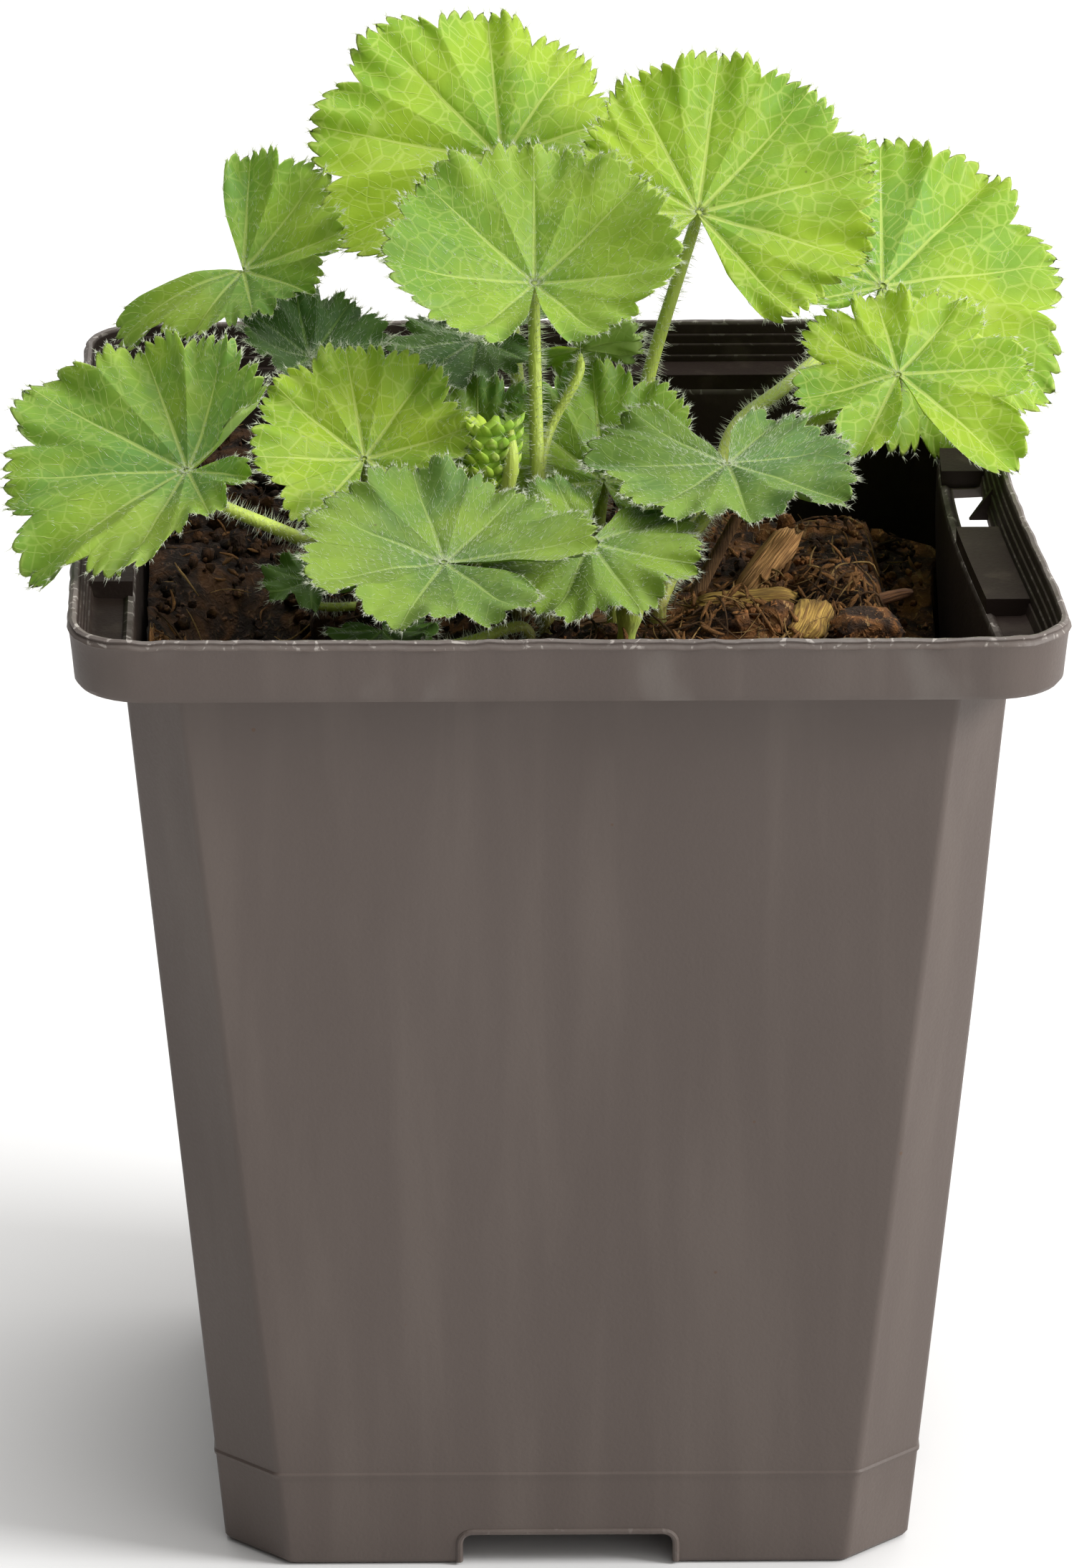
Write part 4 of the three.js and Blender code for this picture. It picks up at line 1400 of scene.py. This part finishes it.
    def hairy_stalk(self, rng: np.random.Generator) -> tuple[Array, list, Array, dict[str, Array]]:
        """The stalk with its spreading hairs.

        Args:
            rng: source of the spread.

        Returns:
            tuple: places, faces, finish of each face and marks.
        """
        path = self.stalk_path()
        rise = np.linspace(0, 1, len(path))
        radii = self.stalk * (1.2 - 0.35 * rise - 0.3 * ease(0.94, 1, rise) + 0.25 * ease(0.12, 0, rise))
        points, faces = tube(path, radii, 14, 0.16)
        length = float(np.linalg.norm(np.diff(path, axis=0), axis=1).sum())
        count = int(self.hairs_per_mm * length)
        row = rng.uniform(2, len(path) - 1.01, count)
        i = row.astype(int)
        step = path[np.minimum(i + 1, len(path) - 1)] - path[i]
        way = unit(step)
        spread = rng.normal(0, 1, way.shape)
        spread = unit(spread - way * (spread * way).sum(1)[:, None])
        centre = path[i] + step * (row - i)[:, None]
        roots = centre + spread * (radii[i] * 0.95)[:, None]
        hairs, hair_faces = hair_blades(roots, spread, rng.uniform(0.5, 1.3, count), TUFT_WIDTH, rng)
        marks = np.concatenate([np.repeat(rise, 14), [0, 1], np.full(len(hairs), 0.5)])
        picks = np.repeat([0, 1], [len(faces), len(hair_faces)])
        return *gather([(points, faces), (hairs, hair_faces)]), picks, {"rise": marks}

    def build(self, skins: dict[Tone, tuple], stalk: bpy.types.Material,
              hair: bpy.types.Material) -> None:
        """Make and dress the blade and the stalk.

        Args:
            skins: upper and lower finish of each tone.
            stalk: finish of the stalk.
            hair: finish of the hairs.
        """
        rng = np.random.default_rng(100 + self.seed)
        if self.tone is Tone.YOUNG:
            FoldedLeaf().build(skins[self.tone], stalk, hair)
        else:
            self.dress_blade(skins, hair, rng)
        points, faces, picks, marks = self.hairy_stalk(rng)
        Bench.piece(f"{self.name}_leafstalk", points, faces, "stalk", (f"leaf_{self.name}_stalk",),
                    (stalk, hair), picks, marks=marks)

    def dress_blade(self, skins: dict[Tone, tuple], hair: bpy.types.Material,
                    rng: np.random.Generator) -> None:
        """Make the blade with its hairs.

        Args:
            skins: upper and lower finish of each tone.
            hair: finish of the hairs.
            rng: source of the hairs' spread.
        """
        points, faces, picks, marks, margin = self.blade()
        solids = [(points, faces), self.tufts(points, margin, rng), self.down(points, rng, self.downy)]
        places, all_faces = gather(solids)
        picks = np.concatenate([picks, np.full(len(all_faces) - len(faces), 2)])
        extra = np.full(len(places) - len(points), 0.5)
        marks = {k: np.concatenate([v, extra]) for k, v in marks.items()}
        slot = "leaf_shade" if self.tone is Tone.SHADED else "leaf"
        Bench.piece(f"{self.name}_leaf", places @ self.frame_of() + self.hub, all_faces, slot,
                    (f"leaf_{self.name}_blade",), (*skins[self.tone], hair), picks, marks=marks)


@dataclass
class FoldedLeaf:
    """The unopened young leaf: tiers of overlapping teeth beside a pale rib."""

    foot: tuple[float, float, float] = (-8.4, -6.6, 116.6)
    head: tuple[float, float, float] = (-7.6, -6.4, 126.2)
    tiers: int = 6
    teeth: int = 8
    width: float = 3.1

    def scale(self) -> tuple[Array, list]:
        """One tooth: a small closed leaf tip, wide below and pointed above.

        Returns:
            tuple[Array, list]: vertices and faces.
        """
        turns = np.arange(10) / 10 * 2 * np.pi
        rows = []
        for lift, size in ((-0.55, 0.45), (-0.3, 0.85), (0.0, 1.0),
                           (0.3, 0.93), (0.6, 0.68), (0.85, 0.34)):
            rows.append(np.column_stack([np.cos(turns) * size * 0.88, np.sin(turns) * size * 0.4 + 0.5 * lift,
                                         np.full(10, lift * 1.05)]))
        points = np.vstack(rows + [[[0, -0.3, -0.75]], [[0, 0.62, 1.2]]])
        faces = strip_faces(6, 10, True)
        faces += [[60, (k + 1) % 10, k] for k in range(10)]
        faces += [[61, 50 + k, 50 + (k + 1) % 10] for k in range(10)]
        return points, faces

    def build(self, skin: tuple, rib: bpy.types.Material, hair: bpy.types.Material) -> None:
        """Make and dress it.

        Args:
            skin: upper and lower finish of young leaves.
            rib: finish of the rib.
            hair: finish of the hairs.
        """
        rng = np.random.default_rng(88)
        foot, head = np.array(self.foot), np.array(self.head)
        axis = smooth_path(np.array([foot, (foot + head) / 2 + [-0.5, -0.3, 0], head]), 14)
        swell = self.width * (0.62 + 0.42 * np.sin(np.linspace(0.25, 2.6, 14)))
        swell = swell * (1 - 0.85 * ease(0.72, 1, np.linspace(0, 1, 14)))
        points, faces = tube(axis, swell * 0.78, 20)
        points[:, 1] = -6.5 + (points[:, 1] + 6.5) * 0.8
        solids, tips = [(points, faces)], []
        across, rim = [np.full(len(points), 1.5)], [np.full(len(points), 0.2)]
        one, quads = self.scale()
        for tier in range(self.tiers):
            f = (tier + 0.5) / self.tiers
            centre = foot + (head - foot) * f + [-0.35 * math.sin(f * 3), 0, -0.3]
            size = self.width * (0.66 + 0.4 * math.sin(0.25 + 2.35 * f)) * 0.92
            for k in range(self.teeth + 2):
                turn = math.radians(-250 + 205 * (k + 0.5 * (tier % 2)) / self.teeth) + rng.normal(0, 0.04)
                out = np.array([math.cos(turn), math.sin(turn), 0])
                side = np.array([-out[1], out[0], 0])
                place = centre + out * [size, size * 0.8, 0]
                place = place + [0, 0, 0.5 * math.cos(turn) + rng.normal(0, 0.12)]
                grow = rng.uniform(0.85, 1.1)
                shape = one[:, :1] * side + one[:, 1:2] * out * 1.3 + one[:, 2:] * [0, 0, 1]
                solids.append((place + shape * grow, quads))
                tips.append(solids[-1][0][-1])
                across.append(np.abs(one[:, 0]) * 1.2)
                rim.append(np.clip(0.45 + one[:, 2] * 0.33, 0, 0.97))
        path = smooth_path(np.array([foot + [1.2, -1.6, -1.4], foot + [2.2, -2.2, 3],
                                     foot + [2.5, -2.0, 6], head + [1.5, -1.2, -1.2]]), 20)
        spine = tube(path, 0.85 - 0.4 * ease(0.6, 1, np.linspace(0, 1, 20)), 14)
        roots = np.vstack([np.repeat(tips, 3, axis=0), spine[0][rng.integers(0, len(spine[0]), 160)]])
        ways = unit(rng.normal(0, 1, roots.shape) * [1, 0.6, 0.4] + [0.2, -0.5, 0.5])
        hairs = hair_blades(roots, ways, rng.uniform(0.4, 1.0, len(roots)), 0.04, rng)
        green = sum(len(own) for _, own in solids)
        places, all_faces = gather(solids + [spine, hairs])
        picks = np.repeat([0, 1, 2], [green, len(spine[1]), len(hairs[1])])
        extra = len(spine[0]) + len(hairs[0])
        width = np.concatenate(across + [np.full(extra, 1.0)])
        marks = {"across": width, "rim": np.concatenate(rim + [np.full(extra, 0.5)]), "along": width,
                 "rise": np.ones(len(places))}
        Bench.piece("young_leaf", places, all_faces, "leaf_young", ("leaf_young_blade",),
                    (skin[0], rib, hair), picks, marks=marks)


# A leaf's tone gives it painted light and shade for where it sits in the clump.
LEAVES = (
    Leaf("back_left", (-6.5, 30, 144.5), 21.5, 35, 52, -10, 8, 330,
         (0.6, 0.8, 1, 1.03, 1, 0.92, 0.78, 0.66, 0.6), (-2, 0), Tone.SUNLIT,
         ((-3, 9, 113), (-5, 21, 122)), (0, 0, 0, 0, 0, -0.3, -0.4, -0.4, -0.2), seed=2),
    Leaf("top_middle", (-3.2, 5, 138), 16.5, 0, 30, 0, 22, 350, (1.0, 1.12, 1.08, 1, 1.05, 1.08, 0.95),
         (-2.5, -4), Tone.HALF_LIT, ((-2.8, -1.6, 114), (-3, 2.4, 123)),
         depth=0.08, round_off=0.3, downy=2200, seed=3),
    Leaf("back_right", (15.4, 15, 143), 20, -4, 48, 5, 5, 300,
         (0.35, 0.5, 0.75, 0.9, 0.98, 1, 1.03, 1, 0.85), (7, 5), Tone.SUNLIT,
         ((8.5, 11, 115), (9.8, 14.5, 123)), (0.2, 0.2, 0, 0, 0, 0, 0, 0, 0),
         depth=0.06, pleat=0.12, seed=4),
    Leaf("far_right", (37.2, 35, 127.5), 22.5, -33, 31, 8, 4, 330,
         (0.5, 0.6, 0.78, 0.95, 0.98, 0.95, 0.98, 1.0, 0.95), (9.5, -2), Tone.SUNLIT,
         ((16.5, 2, 112.5), (19.5, 10.5, 118.5), (26, 19.5, 121)),
         (0, 0, 0, 0, 0, -0.1, -0.4, -0.5, -0.2), pleat=0.12, seed=5),
    Leaf("right", (38, 8, 126), 15.5, 15, 33, 5, 5, 340, (0.85, 0.8, 0.75, 0.75, 0.8, 0.95, 1.15),
         (11.5, -7), Tone.SUNLIT, ((16, -1, 112.5), (24, 5, 117), (29, 6.5, 121)),
         (0, 0, 0, 0, 0, -0.03, -0.12), depth=0.24, pleat=0.3, seed=6),
    Leaf("front_right", (18.3, -8, 121), 15, -170, 8, 0, 3, 330, (0.85, 0.9, 1.05, 0.95, 1, 1.08, 1),
         (10.5, -17), Tone.BLUE_SHADE, downy=2600, depth=0.1, seed=7),
    Leaf("middle", (4.6, 4, 114.7), 14, 5, 50, 0, 5, 320, (0.7, 0.9, 1, 1, 0.95, 0.7, 0.5), (4, 4.5),
         Tone.HALF_LIT, downy=1600, seed=8),
    Leaf("front_middle", (2.6, -22, 116.7), 12.5, 160, 20, 0, -2, 330, (1, 1, 1, 1, 1, 1, 1),
         (5.5, -20), Tone.BLUE_SHADE, downy=2600, seed=9),
    Leaf("front_left", (-13.6, -28, 116.5), 16.5, 62, 14, 0, 10, 348, (1, 1, 1, 1, 1, 0.84, 1.04),
         (-2, -19), Tone.BLUE_SHADE, downy=2800, depth=0.1, round_off=0.25, seed=10),
    Leaf("left_middle", (-22.4, -6, 121), 13.5, 10, 40, 0, 20, 320, (1, 1, 1, 1, 1, 0.95, 0.8),
         (-4, -12), Tone.SUNLIT, ((-13, -10, 112.5),), seed=11),
    Leaf("left", (-42, -22, 125.3), 20.5, 80, 18, -18, 14, 330,
         (0.5, 0.66, 0.95, 1.1, 1.02, 1.15, 0.95, 0.75, 0.6), (-5, -15.5), Tone.HALF_LIT,
         ((-20, -19.5, 112.5), (-32, -21, 118)), (0, 0, -0.15, -0.25, -0.08, 0, 0, 0.2, 0.2),
         downy=1500, seed=12),
    Leaf("far_left", (-36.2, 25, 133), 15.5, -135, 32, -12, 20, 285, (0.95, 0.95, 0.85, 0.75, 0.7, 0.8, 1.1),
         (-7.5, -3), Tone.HALF_LIT, ((-18, 20, 114), (-32, 29.5, 124)), (0, 0, 0, 0, 0, -0.2, -0.5), seed=13),
    Leaf("shaded_left", (-28.5, 18, 125), 9.5, 20, 15, 10, 20, 320, (1, 1, 1, 1, 1, 1, 1), (-5, -7.5),
         Tone.SHADED, ((-18, 9, 113),), downy=1500, seed=14),
    Leaf("shaded_middle", (-9.6, 14, 128.4), 10.5, 80, 8, -12, 0, 320, (1, 1, 1, 1, 1, 1, 1), (-3.5, 3),
         Tone.SHADED, ((-7.5, 13, 118),), downy=1800, seed=15),
    Leaf("shaded_right", (2, 12, 128), 7.5, -70, -45, 0, 6, 300, (1, 1, 1, 1, 1, 1, 1), (-1.5, 3),
         Tone.HALF_LIT, ((-2.6, 3, 115), (-1.6, 7, 119.5)), downy=1400, stalk=0.7, seed=16),
    Leaf("inner", (-9.6, 7.5, 114.6), 11.5, 0, 60, 0, 5, 190, (0.8, 1, 1, 1, 0.8), (-6.5, 3),
         Tone.HALF_LIT, seed=17),
    Leaf("young", (-7.4, -6.6, 115.8), 10.5, 4, 78, 0, 0, 78, (0.85, 0.95, 1, 0.97, 0.85), (-1, -12),
         Tone.YOUNG, depth=0.08, pleat=0.5, stalk=1.1, teeth=5, seed=18),
    Leaf("low_left", (-28.5, -13, 109), 5.6, 60, 12, -6, 6, 300, (1, 1, 1, 1, 1), (-7, -9), Tone.SHADED,
         stalk=0.6, teeth=6, bite=0.6, downy=200, seed=19),
    Leaf("low_front", (-20.5, -30, 109.4), 6.2, -150, 8, 0, 4, 300, (1, 1, 1, 1, 1), (-4, -22), Tone.SHADED,
         stalk=0.6, teeth=6, bite=0.6, downy=200, seed=20),
)


# ------------------------------------------------------------------ litter
@dataclass
class Litter:
    """Bark, twigs and the crown: pieces of the frame given a natural surface."""

    sink: float = 0.5

    def chip(self, node: str, length: float, width: float, thick: float, turn: float, tilt: float,
             finish: bpy.types.Material, slot: str, ragged: float) -> None:
        """A split chip with splintered ends, centred in its node's box.

        Args:
            node: node of the frame it stands for.
            length: along the grain.
            width: across the grain.
            thick: thickness.
            turn: heading in degrees.
            tilt: tilt in degrees.
            finish: its finish.
            slot: material slot of the record.
            ragged: roughness of its surface in millimetres.
        """
        low, high = node_box(node)
        rows, sides = 34, 20
        f = np.linspace(-1, 1, rows)
        turns = np.arange(sides) / sides * 2 * np.pi
        points = []
        for share in f:
            end = max(0.05, 1 - abs(share) ** 5)
            square = (np.abs(np.cos(turns)) ** 4 + np.abs(np.sin(turns)) ** 4) ** -0.25
            points.append(np.column_stack([np.full(sides, share * length / 2),
                                           np.cos(turns) * square * width / 2 * (0.75 + 0.25 * end),
                                           np.sin(turns) * square * thick / 2 * end]))
        p = np.vstack(points)
        grooves = rough(p * [0.12, 1.6, 1.6], 1.0, len(node), 3)
        fray = rough(p * [0.0, 2.2, 2.2] + 5, 1.0, len(node) + 3, 2) * np.abs(np.repeat(f, sides)) ** 3
        p[:, 1:] *= 1 + (ragged * grooves / max(thick, 1.2))[:, None]
        p[:, 0] *= 1 + 0.16 * fray
        p[:, 2] += 0.4 * ragged * rough(p * [0.5, 0.8, 0.2], 2.5, 8, 2)
        marks = {"run": p[:, 0].copy(), "girth": p[:, 1] + p[:, 2]}
        faces = [face[::-1] for face in strip_faces(rows, sides, True)]
        faces += [list(range(sides)), list(range(rows * sides - 1, (rows - 1) * sides - 1, -1))]
        placed = p @ (spin(2, turn) @ spin(1, tilt)).T + ((low + high) / 2 - [0, 0, self.sink])
        Bench.piece(f"{node}_piece", placed, faces, slot, (node,), (finish,), marks=marks)

    def crown(self, finish: bpy.types.Material) -> None:
        """The knobbly rootstock that the stalks grow from.

        Args:
            finish: its finish.
        """
        low, high = node_box("crown")
        rows, sides = 22, 36
        lat = np.linspace(-np.pi / 2 + 0.05, np.pi / 2 - 0.05, rows)
        ball = ball_rings(lat, sides)
        knobs = (0.96 + 0.05 * rough(ball * 3, 1.0, 4, 3))[:, None]
        p = ball * (high - low) / 2 * knobs + (high + low) / 2
        faces = strip_faces(rows, sides, True)
        faces += [list(range(sides))[::-1], list(range((rows - 1) * sides, rows * sides))]
        Bench.piece("rootstock", p, faces, "crown", ("crown",), (finish,),
                    marks={"run": p[:, 2] * 2, "girth": np.repeat(lat, sides) * 4})

    def stem(self, node: str, knots: list, radii: tuple[float, float], skin: bpy.types.Material,
             slot: str, hollow: bool) -> None:
        """A cut or dry stem standing in the compost.

        Args:
            node: node of the frame it stands for.
            knots: places it goes through.
            radii: radius at the foot and at the top.
            skin: its finish.
            slot: material slot of the record.
            hollow: whether its top shows a hollow.
        """
        path = smooth_path(np.array(knots, float), 30)
        size = radii[0] + (radii[1] - radii[0]) * ease(0.45 if hollow else 0.0, 0.85, np.linspace(0, 1, 30))
        if hollow:
            path = np.vstack([path, path[-1:] + [0.02, -0.02, 0.12], path[-1:] + [0, 0, 0.05],
                              path[-1:] - [0, 0, 1.2]])
            size = np.concatenate([size, [size[-1] * 0.93, size[-1] * 0.6, size[-1] * 0.5]])
        points, faces = tube(path, size, 16, 0.08)
        rise = np.concatenate([np.repeat(np.linspace(0, 1, len(path)), 16), [0, 0]])
        Bench.piece(f"{node}_piece", points, faces, slot, (node,), (skin,),
                    marks={"rise": rise, "run": points[:, 2] * 2, "girth": points[:, 0] * 3})

    def build(self, stalk: StalkSkin, earth: Earth) -> None:
        """Make and dress all of it.

        Args:
            stalk: finish of living stalks.
            earth: finish of peat.
        """
        tan = Bark("bark_tan", (0.46, 0.25, 0.09), (0.2, 0.095, 0.03)).make()
        ochre = Bark("bark_ochre", (0.42, 0.27, 0.06), (0.17, 0.09, 0.025)).make()
        brown = Bark("bark_brown", (0.2, 0.11, 0.045), (0.07, 0.035, 0.015)).make()
        red = Bark("bark_red", (0.15, 0.068, 0.026), (0.06, 0.025, 0.011)).make()
        self.chip("bark_long", 11, 3.4, 2.6, 52, -28, tan, "bark", 0.5)
        self.chip("bark_flat", 11.5, 3.2, 2.4, 4, -3, ochre, "bark", 0.5)
        self.chip("bark_small", 5, 3, 1.3, -20, 8, tan, "bark", 0.4)
        self.chip("fibre_bundle", 7.5, 4, 3.0, 78, -12, ochre, "bark", 1.5)
        self.chip("peat_lump", 7.5, 5.5, 4.2, 10, 5, earth.make("peat_clod", 1.3), "compost", 1.6)
        self.chip("dry_twig", 6.5, 1.3, 1.1, 28, -4, red, "bark", 0.6)
        self.crown(brown)
        self.stem("cut_stalk",
                  [(6.4, -25.2, 104), (6.6, -25.5, 106.2), (6.9, -25.9, 108.6), (7.2, -26.3, 111)],
                  (1.05, 1.6), stalk.make("cut_stalk_skin"), "stalk", True)
        self.stem("dry_stalk", [(14, -11.2, 104.5), (15, -10.5, 106.8), (17, -9.5, 110.4), (19.4, -8, 114.6)],
                  (0.95, 0.7), brown, "dead_stalk", False)


# ------------------------------------------------------------------ studio
@dataclass(frozen=True)
class Studio:
    """Pale floor, soft light and the camera."""

    lens: float = 298.95
    distance: float = 1.4807
    elevation: float = 20.634
    azimuth: float = -0.717
    target: tuple[float, float, float] = (-2.98, 0.0, 79.71)
    sky_pull: tuple[float, float, float] = (1.0, 0.1, 0.35)
    sky_power: tuple[float, float] = (0.02, 1.35)
    floor_half: float = 6.0
    floor_greys: tuple[float, float] = (0.74, 0.77)

    def build(self) -> None:
        """Set up floor, lights, world and camera."""
        board = Board("floor")
        greys = ((grey,) * 3 for grey in self.floor_greys)
        finish = board.finish(board.mix(board.noise(3.0, 2.0), *greys), 0.9)
        mesh = bpy.data.meshes.new("floor")
        half = self.floor_half
        mesh.from_pydata([(-half, -half, 0), (half, -half, 0), (half, half, 0), (-half, half, 0)],
                         [], [[0, 1, 2, 3]])
        mesh.materials.append(finish)
        floor = bpy.data.objects.new("floor", mesh)
        bpy.context.scene.collection.objects.link(floor)
        world = bpy.data.worlds.new("studio")
        world.use_nodes = True
        self.sky(world.node_tree)
        bpy.context.scene.world = world
        self.lamp("key", (1.58, -0.5, 1.05), 0.6, 34.0)
        self.lamp("top", (0.0, 0.1, 1.5), 0.8, 9.0)
        self.camera()

    def camera(self) -> None:
        """Set up the long-lensed camera in front, looking a little down."""
        cam = bpy.data.cameras.new("camera")
        cam.lens, cam.sensor_width = self.lens, 36.0
        cam.clip_end = 20.0
        camera = bpy.data.objects.new("camera", cam)
        bpy.context.scene.collection.objects.link(camera)
        el, az = math.radians(self.elevation), math.radians(self.azimuth)
        away = Vector((math.sin(az) * math.cos(el), -math.cos(az) * math.cos(el), math.sin(el)))
        aim = (Vector(self.target) + Vector((POT_X, 0, 0))) * MM
        camera.location = aim + away * self.distance
        camera.rotation_euler = (-away).to_track_quat("-Z", "Y").to_euler()
        bpy.context.scene.camera = camera
        bpy.context.scene.view_settings.view_transform = "Standard"

    def sky(self, tree: bpy.types.NodeTree) -> None:
        """Soft surrounding light: bright on the right and above, dim on the left.

        Args:
            tree: the world's nodes.
        """
        way = tree.nodes.new("ShaderNodeTexCoord").outputs["Generated"]
        split = tree.nodes.new("ShaderNodeSeparateXYZ")
        tree.links.new(way, split.inputs[0])
        total = None
        for axis, pull in enumerate(self.sky_pull):
            part = tree.nodes.new("ShaderNodeMath")
            part.operation = "MULTIPLY_ADD"
            tree.links.new(split.outputs[axis], part.inputs[0])
            part.inputs[1].default_value, part.inputs[2].default_value = pull, 0.0
            if total is not None:
                tree.links.new(total, part.inputs[2])
            total = part.outputs[0]
        grade = tree.nodes.new("ShaderNodeMapRange")
        grade.interpolation_type = "SMOOTHSTEP"
        tree.links.new(total, grade.inputs[0])
        for k, value in enumerate((-0.75, 0.85, *self.sky_power), 1):
            grade.inputs[k].default_value = value
        background = tree.nodes["Background"]
        background.inputs[0].default_value = (1.0, 0.985, 0.96, 1.0)
        tree.links.new(grade.outputs[0], background.inputs[1])

    def lamp(self, name: str, place: tuple[float, float, float], size: float, power: float) -> None:
        """A square soft light aimed at the clump.

        Args:
            name: its name.
            place: where it stands, in metres.
            size: its side in metres.
            power: its power in watts.
        """
        data = bpy.data.lights.new(name, "AREA")
        data.size, data.energy = size, power
        light = bpy.data.objects.new(name, data)
        light.location = place
        light.rotation_euler = (Vector(place) - Vector((0, 0, 0.1))).to_track_quat("Z", "Y").to_euler()
        bpy.context.scene.collection.objects.link(light)


def main() -> None:
    """Build every sub-assembly in order."""
    logging.basicConfig(level=logging.INFO, format="%(message)s")
    Studio().build()
    pot = NurseryPot()
    pot.build(PotPlastic())
    earth, stalk = Earth(), StalkSkin()
    Compost(pot).build(earth)
    skins = {tone: (skin.make(False), skin.make(True)) for tone, skin in SKINS.items()}
    stalk_finish, hair = stalk.make("leaf_stalk"), hair_finish()
    for leaf in LEAVES:
        leaf.build(skins, stalk_finish, hair)
    Litter().build(stalk, earth)
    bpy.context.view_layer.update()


if __name__ == "__main__":
    main()
